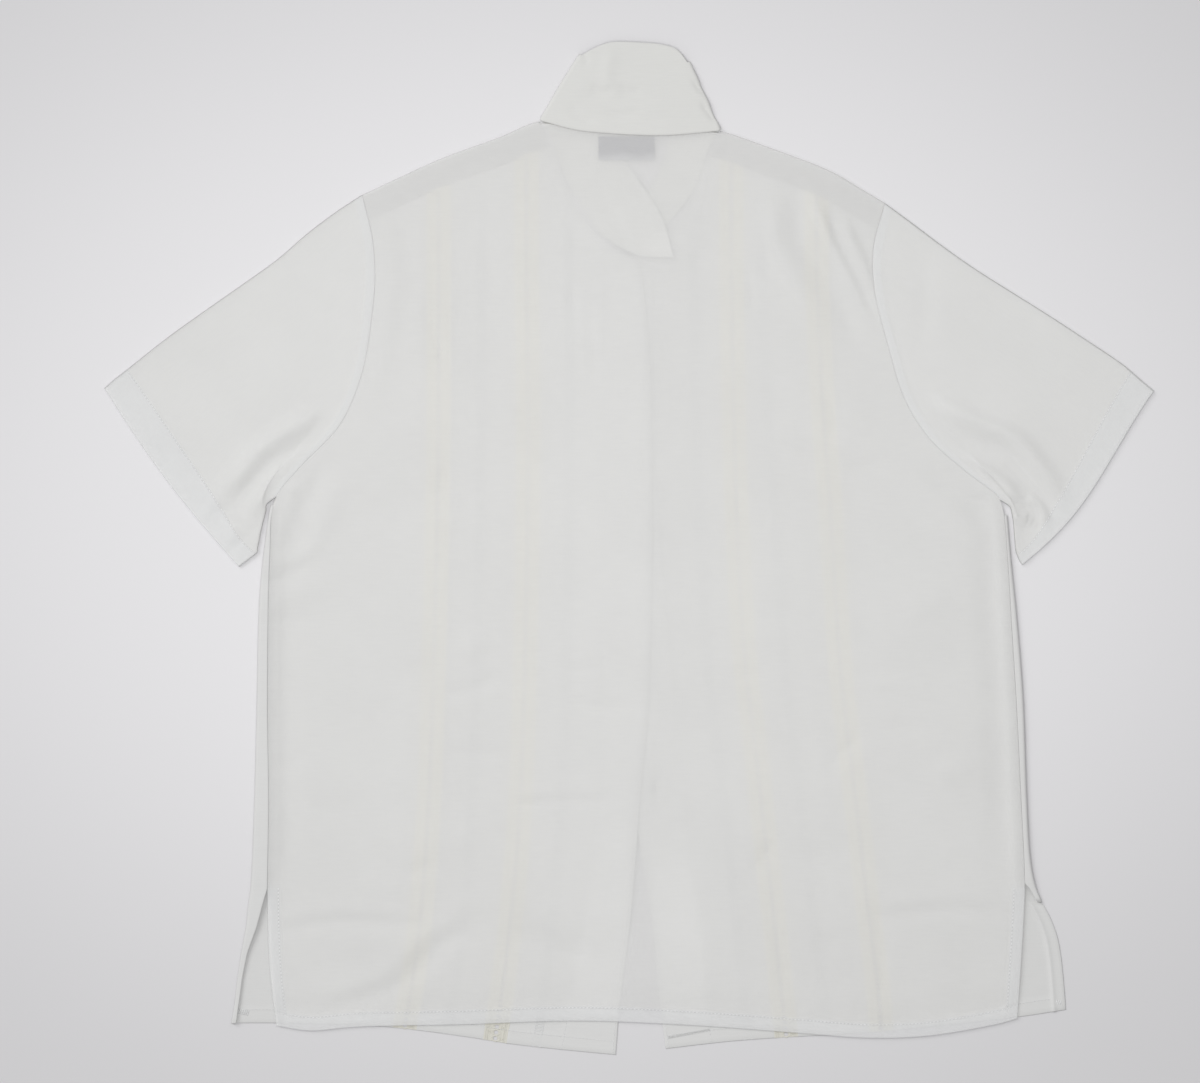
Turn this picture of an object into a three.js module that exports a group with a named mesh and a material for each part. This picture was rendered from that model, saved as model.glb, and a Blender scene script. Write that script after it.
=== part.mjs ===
// A short-sleeved button-up shirt of thin white cloth, laid face down and flat with its collar turned up.
// Millimetres. X runs across the shirt, Y from the hem to the collar, Z up from the table.
// The wearer's left is at -X. Every piece of cloth is a closed wall made round a middle surface.
import * as THREE from 'three';

// ---- Driving dimensions ----
const CLOTH = 1.0; // wall of one layer of cloth
const DOUBLE = 1.5; // wall of a turned hem, a facing or a slit hem
const COLLAR_CLOTH = 1.6; // two layers and interfacing
const SEAM_GAP = 0.3; // between two pieces that are sewn edge to edge
const SIDE_SEAM_GAP = 0.45; // the same where the fronts' turned sides meet the back
const SHOULDER_SEAM_GAP = 0.6; // and where the fronts' tops meet the forward shoulders
const HEM = 12; // depth of the body's turned hem
const BACK_CLEAR = 3.2; // the back's underside above the table, over one layer of the front
const HEM_CLEAR = 1.9; // the same at the back's hem
const FORWARD_SHOULDER = 20; // how far the back wraps over the shoulder to its seam on the front
const PIT_Y = 44; // underarm height
const SLIT_TOP_Y = -276; // where the side seams end and the slits begin
const NECK_Y = 236; // bottom of the front neckline
const BUTTON = { radius: 5.7, thickness: 2.0, sides: 20, count: 7, topY: 204, pitch: 80, inFromEdge: 22 };
const BUTTON_HOLES = { count: 4, radius: 0.9, ring: 1.9, sides: 6 };
const LABEL = { left: -25, right: 21, top: 337.5, bottom: 318, clear: 2.3, steps: 4 };
const FOLD_STEPS = 4; // facets round a fold

// What lifts the layers. Each pair of numbers is where a lift starts and where it is whole, or the
// reverse.
const BUTTON_LIFT = { height: 2.4, across: [12, 36], bottom: [-330, -290], top: [213, 236] };
const OVERLAP_LIFT = { height: 2.3, past: [-26, -3] }; // the left front lies on the right one's edge
const CENTRE_RIDGE = { height: 3.4, across: [24, 56], bottom: [-345, -290], neck: [236, 296], lost: 0.78 };
const SIDE_ROLL = { height: 0.9, across: [4, 16], bottom: [-300, -270], top: [-20, 30] };
const SIDE_VALLEY = { depth: 0.8, start: [6, 14], end: [16, 34], bottom: [-280, -240] };
const COLLAR_OVERLAP = { height: 2.0, across: [-22, -8], along: [297, 312] };
const HEM_RAMP = [6, 34]; // the back rises from its hem's height over this
const FOLDS_END = [318, 334]; // the back's folds are gone at the neck seam
const BACK_LEAST = 1.6; // the back never lies lower, over one layer
const SLEEVE_LEAST = 1.9; // nor does a sleeve's upper layer

// ---- Outlines: short tables of points, joined by smooth curves ----
const named = (names, values) => Object.fromEntries(names.map((name, i) => [name, values[i]]));
const row = (names, rows) => rows.map((values) => named(names, values));

// The back's two long edges, from hem to shoulder tip: slit, side seam, underarm, armhole.
const backLeft = row(['x', 'y'], [
  [-289, -391], [-294, -346], [-296, -292], [-295, -206], [-296, -124], [-294, -4], [-290, 40],
  [-270, 66], [-237, 101], [-219, 142], [-211, 187], [-208, 220], [-210, 253], [-218, 288],
]);
const backRight = row(['x', 'y'], [
  [318, -385], [320, -354], [323, -305], [324, -276], [321, -206], [317, -124], [313, -59], [310, -9],
  [306, 34], [302, 43], [280, 60], [247, 89], [226, 122], [212, 167], [201, 212], [200, 245], [209, 281],
]);
const backHem = row(['x', 'y'], [
  [-289, -391], [-262, -395], [-225, -392], [-139, -390], [-40, -387], [58, -391], [140, -397],
  [198, -401], [247, -399], [304, -389], [318, -385],
]);
const backTop = row(['x', 'y'], [
  [-218, 288], [-188, 302], [-155, 317], [-106, 335], [-72, 348], [-44, 343], [-24, 341], [9, 339],
  [34, 339], [58, 341], [74, 340], [116, 326], [165, 307], [189, 293], [209, 281],
]);
const NECK_POINT = { left: -72, right: 74 };
const NECK_REACH = 3; // a shoulder takes in the back's points up to this far past its neck point
const NECK_TOP_Y = 339;

// The fronts' side folds, which are the outline.
const leftFold = row(['y', 'fold'], [
  [38, -293.5], [23, -296], [-4, -299.5], [-42, -303], [-124, -305], [-206, -307], [-276, -310],
  [-291, -312], [-310, -314], [-332, -318], [-352, -321], [-377, -324], [-389, -326],
]);
const rightFold = row(['y', 'fold'], [
  [27, 310], [-9, 313], [-59, 318], [-124, 323], [-206, 326], [-255, 329], [-276, 333], [-291, 339],
]);
// Below the slit's top the turned-over cloth is free: where it ends, and the height of its upper face.
const leftFreeEdge = row(['y', 'edge', 'rise'], [
  [-276, -295.5, 4.4], [-291, -300, 4.6], [-310, -305, 4.4], [-332, -313, 3.4], [-352, -317, 2.8],
  [-389, -322, 3.4],
]);
const rightFreeEdge = row(['y', 'edge', 'rise'], [[-276, 327, 4.2], [-291, 335, 3.4]]);
// Below the right fold's last row the cloth lies open out to its own slit hem.
const rightSlit = row(['y', 'x'], [
  [-291, 339], [-302, 345], [-318, 351], [-334, 354], [-358, 356.5], [-378, 358],
]);

// The fronts' inner edges, their facings and the middle of each lace band, by height.
const leftLines = row(['y', 'edge', 'facing', 'inner', 'outer'], [
  [236, 9, -22, -84, -156], [171, 16, -23, -83, -156], [40, 19, -23, -83, -157],
  [-124, 16, -25, -86, -161], [-206, 9, -28, -89, -164], [-305, 1, -38, -97, -171],
  [-378, -8, -50, -105, -179], [-415, -11, -57, -110, -184],
]);
const rightLines = row(['y', 'edge', 'facing', 'inner', 'outer'], [
  [236, -20, 20, 84, 154], [122, -22, 22, 86, 160], [40, -20, 25, 88, 165], [-91, -9, 36, 95, 173],
  [-157, -2, 42, 103, 180], [-231, 7, 50, 111, 189], [-305, 19, 58, 119, 197], [-370, 25, 65, 125, 204],
  [-410, 30, 69, 129, 207],
]);
const LACE_HALF = 9; // half the width of a lace band
const leftNeck = row(['x', 'y'], [[9, 236], [-14, 247], [-36, 269], [-55, 300], [-65, 330]]);
const rightNeck = row(['x', 'y'], [[-20, 236], [-4, 238], [21, 249], [40, 269], [57, 294], [67, 322]]);
const leftFrontHem = row(['x', 'y'], [
  [-326, -389], [-289, -389], [-201, -392], [-129, -401], [-98, -406], [-63, -410], [-11, -415],
]);
const rightFrontHem = row(['x', 'y'], [
  [30, -410], [83, -404], [140, -400], [181, -398], [319, -384], [358, -378],
]);

// Stations up the armhole, as a share of the back's height, where back, front and sleeve meet point to
// point.
const ARMHOLE = [0.64, 0.665, 0.7, 0.745, 0.79, 0.835, 0.87, 0.9, 0.925, 0.95, 0.971, 1];
const FRONT_TOP_STATION = 10; // the front's armhole ends here, at the forward shoulder seam

// Sleeves, from the armhole to the cuff: where the flat layers end at the top fold and at the under fold.
const leftSleeve = row(['topX', 'topY', 'underX', 'underY'], [
  [-218, 288, -290, 43.6], [-240, 273.5, -299, 37], [-262, 257, -301, 28], [-287, 235.5, -302.5, 20],
  [-317, 214, -304, 12], [-347, 193, -305, 6], [-379, 170, -306, 1], [-410, 145.5, -307, -3.5],
  [-420.5, 137.5, -314, -9], [-429, 130, -320.5, -14],
]);
const rightSleeve = row(['topX', 'topY', 'underX', 'underY'], [
  [209, 281, 303, 41], [230, 265.5, 312, 35.5], [254, 247.5, 315.3, 28], [279, 230, 316.3, 20],
  [309, 211, 316.8, 13], [341, 191, 317.3, 7], [373, 170, 317.8, 2], [404, 149, 318.5, -3],
  [417.5, 137.5, 320.5, -8], [429, 128, 323, -12.5],
]);
const SLEEVE_HEM_FROM = 7; // station where the sleeve's turned hem begins
// How far each cuff's edge bows out, and where: a skew over 1 moves the bow towards the under fold.
const CUFF_BOW = { left: { depth: 4.5, skew: 1 }, right: { depth: 9, skew: 1.5 } };
const CUFF_WAY = { x: 0.79, y: -0.61 }; // the way out of a cuff, from the middle of the shirt
const UNDERARM_OUT = { x: 0.5, y: -0.87 }; // the way out over the under fold, at the underarm
const SETTLED = { top: 2, under: 2 }; // stations by which a fold's way out is square to it
// How far the lines across a sleeve swing out before they reach its under fold, so that they meet it at
// an angle: higher powers bring the swing nearer to the fold, and lower ones nearer to the armhole.
const UNDER_SWING = { depth: 9, nearFold: 6, nearArmhole: 0.6 };
const SLEEVE_CLEAR = { armhole: BACK_CLEAR, cuff: HEM_CLEAR + 0.4 };
const SLEEVE_FOLDS_FROM = 0.17; // share of the sleeve's length over which its folds come in

// The collar: neck seam, outer edge and the two ends, round from the left front over the back.
const collarPath = row(['part', 'seamX', 'seamY', 'edgeX', 'edgeY'], [
  ['left', 9, 239, 24, 288], ['left', -13, 250, 10, 299], ['left', -24, 259, 1, 313],
  ['left', -34, 273, -9, 330], ['left', -52, 304, -24, 362], ['left', -62, 333, -35, 392],
  ['back', -71, 351, -39, 404], ['back', -44, 344, -26, 411], ['back', -24, 341.6, -14, 414.6],
  ['back', 9, 339.6, 8, 414.4], ['back', 34, 339.6, 28, 412.6], ['back', 58, 341.6, 40, 408],
  ['back', 73, 343, 48, 398], ['right', 65, 326, 44, 385], ['right', 55, 298, 38, 360],
  ['right', 38, 273, 30, 325], ['right', 19, 253, 20, 300], ['right', 0, 241, 8, 282],
]);
const COLLAR_STEPS = 4; // facets across the collar
const COLLAR_ROLL = 1; // how far the back of the collar rises between its seam and its edge
const COLLAR_OUT = { left: new THREE.Vector2(-0.87, 0.49), right: new THREE.Vector2(0.91, 0.41) };

// Folds of the cloth: from, to, half width and height, negative for a trough.
const backFolds = row(['x1', 'y1', 'x2', 'y2', 'half', 'height'], [
  [137, 292, 150, 215, 13, -1.6], [150, 215, 192, 160, 13, -1.5], [168, 262, 205, 190, 9, -1.2],
  [-122, -310, -190, -378, 16, -1.2], [-190, -378, -250, -385, 14, -0.7], [-96, -312, -30, -334, 14, -1.0],
  [-292, -312, -170, -306, 12, -0.9], [206, -302, 312, -298, 12, -1.0], [-298, -30, -258, -14, 9, -1.1],
  [-88, -208, 50, -210, 9, -0.6], [-155, -120, -104, -104, 10, -0.7], [190, -112, 255, -124, 9, 0.5],
  [-200, 262, -196, 165, 9, 0.6], [-250, 72, -282, 0, 12, -1.2],
]);
const sleeveFolds = row(['x1', 'y1', 'x2', 'y2', 'half', 'height'], [
  [-253, 91, -286, 70, 8, -0.9], [-286, 70, -325, 27, 9, -1.1], [-300, 45, -340, 30, 8, 0.7],
  [243, 109, 276, 86, 8, -1.0], [276, 86, 322, 64, 8, -1.1], [322, 64, 341, 27, 9, -1.1],
  [311, 34, 335, 23, 6, -0.6],
]);

// ---- Reading the tables ----
const clamp = THREE.MathUtils.clamp;
const lerp = THREE.MathUtils.lerp;
const fade = (x, from, to) => THREE.MathUtils.smoothstep((x - from) / (to - from), 0, 1);

// A column of a table at a key, along straight lines between its rows.
function lookup(table, key, column, at) {
  const rising = table[table.length - 1][key] > table[0][key];
  const sorted = rising ? table : [...table].reverse();
  if (at <= sorted[0][key]) return sorted[0][column];
  for (let i = 1; i < sorted.length; i += 1) {
    const low = sorted[i - 1];
    const high = sorted[i];
    if (at <= high[key]) return lerp(low[column], high[column], (at - low[key]) / (high[key] - low[key]));
  }
  return sorted[sorted.length - 1][column];
}

// The point at a fraction of the way along a smooth curve through a table's points.
function curveThrough(table, names = ['x', 'y']) {
  const points = table.map((entry) => new THREE.Vector3(entry[names[0]], entry[names[1]], 0));
  const curve = new THREE.CatmullRomCurve3(points, false, 'centripetal');
  return (t) => curve.getPoint(clamp(t, 0, 1));
}

// The parameter at which a smooth curve reaches a given x or y.
function reach(curve, axis, value) {
  let low = 0;
  let high = 1;
  const rising = curve(1)[axis] > curve(0)[axis];
  for (let i = 0; i < 40; i += 1) {
    const middle = (low + high) / 2;
    if (curve(middle)[axis] > value === rising) high = middle;
    else low = middle;
  }
  return (low + high) / 2;
}

// ---- Heights: each layer lies on the one below ----
function foldHeight(folds, x, y) {
  let height = 0;
  for (const fold of folds) {
    const along = new THREE.Vector2(fold.x2 - fold.x1, fold.y2 - fold.y1);
    const offset = new THREE.Vector2(x - fold.x1, y - fold.y1);
    const t = clamp(offset.dot(along) / along.lengthSq(), 0, 1);
    const distance = offset.sub(along.multiplyScalar(t)).length();
    height += fold.height * Math.exp(-((distance / fold.half) ** 2));
  }
  return height;
}

// The buttons' line at the centre front, and what they lift.
const buttonX = (y) => lookup(leftLines, 'y', 'edge', y) - BUTTON.inFromEdge;
function rightFrontLow(x, y) {
  const across = 1 - fade(Math.abs(x - buttonX(y)), ...BUTTON_LIFT.across);
  const along = fade(y, ...BUTTON_LIFT.bottom) * (1 - fade(y, ...BUTTON_LIFT.top));
  return BUTTON_LIFT.height * across * along;
}

// The left front climbs onto the right one.
function leftFrontLow(x, y) {
  const past = x - lookup(rightLines, 'y', 'edge', y);
  return rightFrontLow(x, y) + OVERLAP_LIFT.height * fade(past, ...OVERLAP_LIFT.past);
}

// The back's underside: a ridge over the buttons, a roll and a valley along each side, and its folds.
function backLow(x, y) {
  const centre = 1 - fade(Math.abs(x - buttonX(y)), ...CENTRE_RIDGE.across);
  const above = 1 - CENTRE_RIDGE.lost * fade(y, ...CENTRE_RIDGE.neck);
  const ridge = CENTRE_RIDGE.height * centre * fade(y, ...CENTRE_RIDGE.bottom) * above;
  const side = Math.min(x - lookup(backLeft, 'y', 'x', y), lookup(backRight, 'y', 'x', y) - x);
  const belowPit = y < PIT_Y ? 1 : 0;
  const rollAlong = fade(y, ...SIDE_ROLL.bottom) * (1 - fade(y, ...SIDE_ROLL.top));
  const roll = SIDE_ROLL.height * belowPit * (1 - fade(side, ...SIDE_ROLL.across)) * rollAlong;
  const valleyAcross = fade(side, ...SIDE_VALLEY.start) * (1 - fade(side, ...SIDE_VALLEY.end));
  const valley = SIDE_VALLEY.depth * belowPit * valleyAcross * fade(y, ...SIDE_VALLEY.bottom);
  const hem = fade(y - lookup(backHem, 'x', 'y', x), ...HEM_RAMP);
  const folds = foldHeight(backFolds, x, y) * (1 - fade(y, ...FOLDS_END));
  const height = lerp(HEM_CLEAR, BACK_CLEAR, hem) + ridge + roll + (folds - valley) * hem;
  return Math.max(height, BACK_LEAST);
}

// The back's edge on one side at a height, from its smooth curve.
const backSide = { left: curveThrough(backLeft), right: curveThrough(backRight) };
const sideX = (side, y) => backSide[side](reach(backSide[side], 'y', y)).x;
const sideY = (side, share) => lerp(backSide[side](0).y, backSide[side](1).y, share);

// ---- From a surface to a closed wall ----
// A surface is a set of patches; a patch is rows of [x, y, middle z, thickness] with its face up.
class Cloth {
  constructor() {
    this.points = [];
    this.thickness = [];
    this.faces = [];
    this.index = new Map();
  }

  vertex([x, y, z, wall]) {
    const key = [x, y, z].map((value) => Math.round(value * 200)).join();
    if (!this.index.has(key)) {
      this.index.set(key, this.points.length);
      this.points.push(new THREE.Vector3(x, y, z));
      this.thickness.push(wall);
    }
    return this.index.get(key);
  }

  patch(rows) {
    const ids = rows.map((line) => line.map((point) => this.vertex(point)));
    for (let i = 1; i < ids.length; i += 1) {
      for (let j = 1; j < ids[i].length; j += 1) {
        const corners = [ids[i - 1][j - 1], ids[i - 1][j], ids[i][j], ids[i][j - 1]];
        const [a, b, c, d] = corners.map((id) => this.points[id]);
        if (a.distanceTo(c) < b.distanceTo(d)) {
          this.faces.push([corners[0], corners[1], corners[2]], [corners[0], corners[2], corners[3]]);
        } else {
          this.faces.push([corners[0], corners[1], corners[3]], [corners[1], corners[2], corners[3]]);
        }
      }
    }
    return this;
  }

  // Both faces stand half the wall away from the middle surface, and each free edge is closed by a rim.
  wall() {
    const normals = this.points.map(() => new THREE.Vector3());
    const edges = new Map();
    for (const face of this.faces) {
      const [a, b, c] = face.map((id) => this.points[id]);
      const normal = new THREE.Vector3().crossVectors(b.clone().sub(a), c.clone().sub(a));
      face.forEach((id, k) => {
        normals[id].add(normal);
        edges.set(`${id},${face[(k + 1) % 3]}`, [id, face[(k + 1) % 3]]);
      });
    }
    const positions = [];
    for (const side of [0.5, -0.5]) {
      this.points.forEach((point, id) => {
        const offset = normals[id].clone().normalize().multiplyScalar(side * this.thickness[id]);
        positions.push(...point.clone().add(offset).toArray());
      });
    }
    const under = this.points.length;
    const triangles = [];
    for (const [a, b, c] of this.faces) triangles.push(a, b, c, a + under, c + under, b + under);
    for (const [a, b] of edges.values()) {
      if (!edges.has(`${b},${a}`)) triangles.push(b, a, a + under, b, a + under, b + under);
    }
    const geometry = new THREE.BufferGeometry();
    geometry.setAttribute('position', new THREE.Float32BufferAttribute(positions, 3));
    geometry.setIndex(triangles);
    geometry.computeVertexNormals();
    return geometry;
  }
}

const shirt = new THREE.Group();
function addPiece(name, geometry, finish) {
  const mesh = new THREE.Mesh(geometry, new THREE.MeshStandardMaterial(finish));
  mesh.name = name;
  shirt.add(mesh);
}
const WHITE_CLOTH = { color: 0xf0f1ee, roughness: 0.85, metalness: 0 };
const COLLAR_WHITE = { color: 0xf1f0ea, roughness: 0.85, metalness: 0 };
const CREAM_LACE = { color: 0xf0ecd8, roughness: 0.9, metalness: 0 };
const LABEL_CLOTH = { color: 0x5c6474, roughness: 0.8, metalness: 0 };
const BUTTON_WHITE = { color: 0xf2f2ee, roughness: 0.3, metalness: 0 };

// Cloth that turns over an edge: points round a half circle from the start's height to endZ, and on to
// an end.
// out is the way to the outline in plan, back how far the turned-over cloth comes back in.
function turnedEdge(start, out, endZ, back, wall) {
  const [x, y, z] = start;
  const radius = (z - endZ) / 2;
  const rows = [start];
  for (let k = 1; k <= FOLD_STEPS; k += 1) {
    const angle = (Math.PI * k) / FOLD_STEPS;
    const bulge = Math.abs(radius) * Math.sin(angle);
    const height = (z + endZ) / 2 + radius * Math.cos(angle);
    rows.push([x + out.x * bulge, y + out.y * bulge, height, wall]);
  }
  if (back > 0) rows.push([x - out.x * back, y - out.y * back, endZ, wall]);
  return rows;
}

// ---- Back ----
const BACK_COLUMNS = [0, 0.016, 0.04, 0.075, 0.115, 0.16, 0.21, 0.255, 0.3, 0.342, 0.375, 0.405, 0.435,
  0.465, 0.495, 0.525, 0.56, 0.6, 0.645, 0.684, 0.73, 0.775, 0.815, 0.855, 0.895, 0.93, 0.96, 0.984, 1];
const BACK_ROWS = [0, 0.0175, 0.05, 0.085, 0.12, 0.147, 0.17, 0.205, 0.24, 0.275, 0.31, 0.35, 0.39, 0.43,
  0.47, 0.51, 0.55, 0.595, ...ARMHOLE];

// The way out over each shoulder, at its two ends.
const SHOULDER_OUT = {
  left: { armhole: new THREE.Vector2(-0.25, 0.94), neck: new THREE.Vector2(-0.39, 0.92) },
  right: { armhole: new THREE.Vector2(0.27, 0.95), neck: new THREE.Vector2(0.43, 0.9) },
};
const forwardSeam = {}; // where the back's turned-under shoulders end, for the fronts to meet

function buildBack() {
  const { left, right } = backSide;
  const hem = curveThrough(backHem);
  const top = curveThrough(backTop);
  const edgeAt = (curve, v) => curve(reach(curve, 'y', lerp(curve(0).y, curve(1).y, v)));
  const spanAt = (curve, u) => curve(reach(curve, 'x', lerp(curve(0).x, curve(1).x, u)));
  // Opposite edges are blended, and the corners' own share is taken off once.
  const place = (u, v) => {
    const sides = edgeAt(left, v).lerp(edgeAt(right, v), u);
    const ends = spanAt(hem, u).lerp(spanAt(top, u), v);
    const corners = hem(0).lerp(hem(1), u).lerp(top(0).lerp(top(1), u), v);
    return sides.add(ends).sub(corners);
  };
  const hemRow = BACK_ROWS[1];
  const slitColumn = BACK_COLUMNS[1];
  const wallAt = (u, v, y) => {
    const slit = y < SLIT_TOP_Y && (u <= slitColumn || u >= 1 - slitColumn);
    return v <= hemRow || slit ? DOUBLE : CLOTH;
  };
  const rows = BACK_ROWS.map((v) => BACK_COLUMNS.map((u) => {
    const { x, y } = place(u, v);
    const wall = wallAt(u, v, y);
    return [x, y, backLow(x, y) + wall / 2, wall];
  }));
  const cloth = new Cloth().patch(rows);
  // Over each shoulder the cloth turns under, to the seam on the front.
  const last = rows[rows.length - 1];
  const neckLeft = last.findIndex((point) => point[0] > NECK_POINT.left - NECK_REACH);
  const neckRight = last.findLastIndex((point) => point[0] < NECK_POINT.right + NECK_REACH);
  const shoulders = { left: last.slice(0, neckLeft + 1), right: last.slice(neckRight) };
  for (const side of ['left', 'right']) {
    const { armhole, neck } = SHOULDER_OUT[side];
    const tip = shoulders[side][side === 'left' ? 0 : shoulders[side].length - 1];
    const strips = shoulders[side].map((point) => {
      const share = Math.abs(point[0] - tip[0]) / Math.abs(NECK_POINT[side] - tip[0]);
      return turnedEdge(point, armhole.clone().lerp(neck, share), CLOTH / 2, FORWARD_SHOULDER, CLOTH);
    });
    cloth.patch(strips[0].map((_, k) => strips.map((strip) => strip[k])));
    forwardSeam[side] = strips.map((strip) => ({ x: strip.at(-1)[0], y: strip.at(-1)[1] }));
  }
  addPiece('back', cloth.wall(), WHITE_CLOTH);
}

// ---- Fronts ----
// Rows run from the inner edge to the outer one, whose heights may differ. The first two follow the hem.
const FRONT_ROWS = row(['inner', 'outer'], [
  [-372, -352], [-345, -332], [-316, -310], [-290, -291], [-274, -276.5], [-246, -248], [-214, -216],
  [-180, -182], [-146, -148], [-112, -114], [-78, -80], [-44, -46], [-12, -14], [18, 12], [38, 35],
]);
// Beside the armhole: a height below the neckline's corner, and above it a share of the neckline.
const FRONT_ARMHOLE_ROWS = [48, 76, 106, 140, 172, 206, 213, NECK_Y, 0.3, 0.65, 1];
const NECK_CORNER_ROW = 7;

function buildFront(side) {
  const isLeft = side === 'left';
  const sign = isLeft ? -1 : 1;
  const lines = isLeft ? leftLines : rightLines;
  const folds = isLeft ? leftFold : rightFold;
  const hem = isLeft ? leftFrontHem : rightFrontHem;
  const hemOuter = isLeft ? hem[0] : hem[hem.length - 1];
  const hemInner = isLeft ? hem[hem.length - 1] : hem[0];
  const neck = curveThrough(isLeft ? leftNeck : rightNeck);
  const low = isLeft ? leftFrontLow : rightFrontLow;
  const freeEdge = isLeft ? leftFreeEdge : rightFreeEdge;
  const lastFoldY = folds[folds.length - 1].y;
  const slitRow = SLIT_TOP_Y - 1; // just below the row of points at the slit's top

  // Where the turned-over cloth ends: at the side seam above the slit, free below it.
  const turnedEnd = (y) => {
    if (y < slitRow) {
      return { x: lookup(freeEdge, 'y', 'edge', y), z: lookup(freeEdge, 'y', 'rise', y) - CLOTH / 2 };
    }
    const x = sideX(side, y);
    return { x: x + sign * SIDE_SEAM_GAP, z: backLow(x, y) + CLOTH / 2 };
  };
  // The flat part's outer edge, inside the fold's own radius.
  const outline = (y) => {
    if (y > folds[0].y) return sideX(side, y);
    if (y < lastFoldY) return lookup(rightSlit, 'y', 'x', y) - SEAM_GAP;
    const radius = (turnedEnd(y).z - CLOTH / 2) / 2;
    return lookup(folds, 'y', 'fold', y) - sign * (radius + CLOTH / 2);
  };
  const hemY = (x) => lookup(hem, 'x', 'y', x);
  const seamY = (x) => lookup(forwardSeam[side], 'x', 'y', x) - SHOULDER_SEAM_GAP;

  const ends = [
    { inner: hemInner.y, outer: hemOuter.y, yAt: hemY },
    { inner: hemInner.y + HEM, outer: hemOuter.y + HEM, yAt: (x) => hemY(x) + HEM },
    ...FRONT_ROWS,
    ...FRONT_ARMHOLE_ROWS.map((inner, k) => ({
      inner,
      outer: sideY(side, ARMHOLE[k]),
      neckShare: k > NECK_CORNER_ROW ? inner : undefined,
      yAt: k === FRONT_TOP_STATION ? seamY : undefined,
    })),
  ];
  const sections = ends.map((entry, i) => {
    const start = entry.neckShare === undefined ? null : neck(entry.neckShare);
    const innerY = start ? start.y : entry.inner;
    const lineY = Math.min(innerY, NECK_Y);
    const innerX = start ? start.x : lookup(lines, 'y', 'edge', lineY);
    const outerX = outline(entry.outer);
    const straight = (x) => lerp(innerY, entry.outer, (x - innerX) / (outerX - innerX));
    const band = (name, edge) => lookup(lines, 'y', name, lineY) + sign * edge * LACE_HALF;
    const innerBand = band('inner', -1);
    const facing = lookup(lines, 'y', 'facing', lineY);
    const tooNear = sign * (facing - innerX) < LACE_HALF;
    return {
      i,
      innerX,
      outerX,
      outerY: entry.outer,
      heightAt: entry.yAt ?? straight,
      facingX: tooNear ? (innerX + innerBand) / 2 : facing,
      bands: [innerBand, band('inner', 1), band('outer', -1), band('outer', 1)],
    };
  });

  const point = (section, x, wall) => {
    const y = section.heightAt(x);
    return [x, y, low(x, y) + wall / 2, wall];
  };
  const strip = (name, columnsOf, finish, turned = false) => {
    const rows = sections.map((section) => {
      const hemWall = section.i < 2 ? DOUBLE : CLOTH;
      return columnsOf(section).map(({ x, wall }) => point(section, x, Math.max(wall, hemWall)));
    });
    const ordered = isLeft ? rows.map((line) => [...line].reverse()) : rows;
    const cloth = new Cloth().patch(ordered);
    if (turned) {
      const out = new THREE.Vector2(sign, 0);
      const grid = [];
      sections.forEach((section, k) => {
        if (section.outerY > folds[0].y || section.outerY < lastFoldY) return;
        const start = rows[k][rows[k].length - 1];
        const end = turnedEnd(section.outerY);
        const back = Math.max(sign * (start[0] - end.x), SEAM_GAP);
        grid.push(turnedEdge(start, out, end.z + (start[3] - CLOTH) / 2, back, start[3]));
      });
      cloth.patch(isLeft ? grid.map((line) => [...line].reverse()) : grid);
    }
    addPiece(`front_${side}_${name}`, cloth.wall(), finish);
  };

  const inset = (x, by) => x + sign * by * (SEAM_GAP / 2);
  const spread = (from, to, steps, wall) => {
    const columns = [];
    for (let k = 0; k <= steps; k += 1) columns.push({ x: lerp(from, to, k / steps), wall });
    return columns;
  };
  strip('centre', ({ innerX, facingX, bands }) => [
    ...spread(innerX, facingX, 4, DOUBLE),
    ...spread(facingX, inset(bands[0], -1), 3, CLOTH).slice(1),
  ], WHITE_CLOTH);
  const between = (from, to, steps) => ({ bands }) => (
    spread(inset(bands[from], 1), inset(bands[to], -1), steps, CLOTH)
  );
  strip('lace_inner', between(0, 1, 1), CREAM_LACE);
  strip('middle', between(1, 2, 2), WHITE_CLOTH);
  strip('lace_outer', between(2, 3, 1), CREAM_LACE);
  strip('side', ({ bands, outerX }) => spread(inset(bands[3], 1), outerX, 4, CLOTH), WHITE_CLOTH, true);
}

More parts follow.
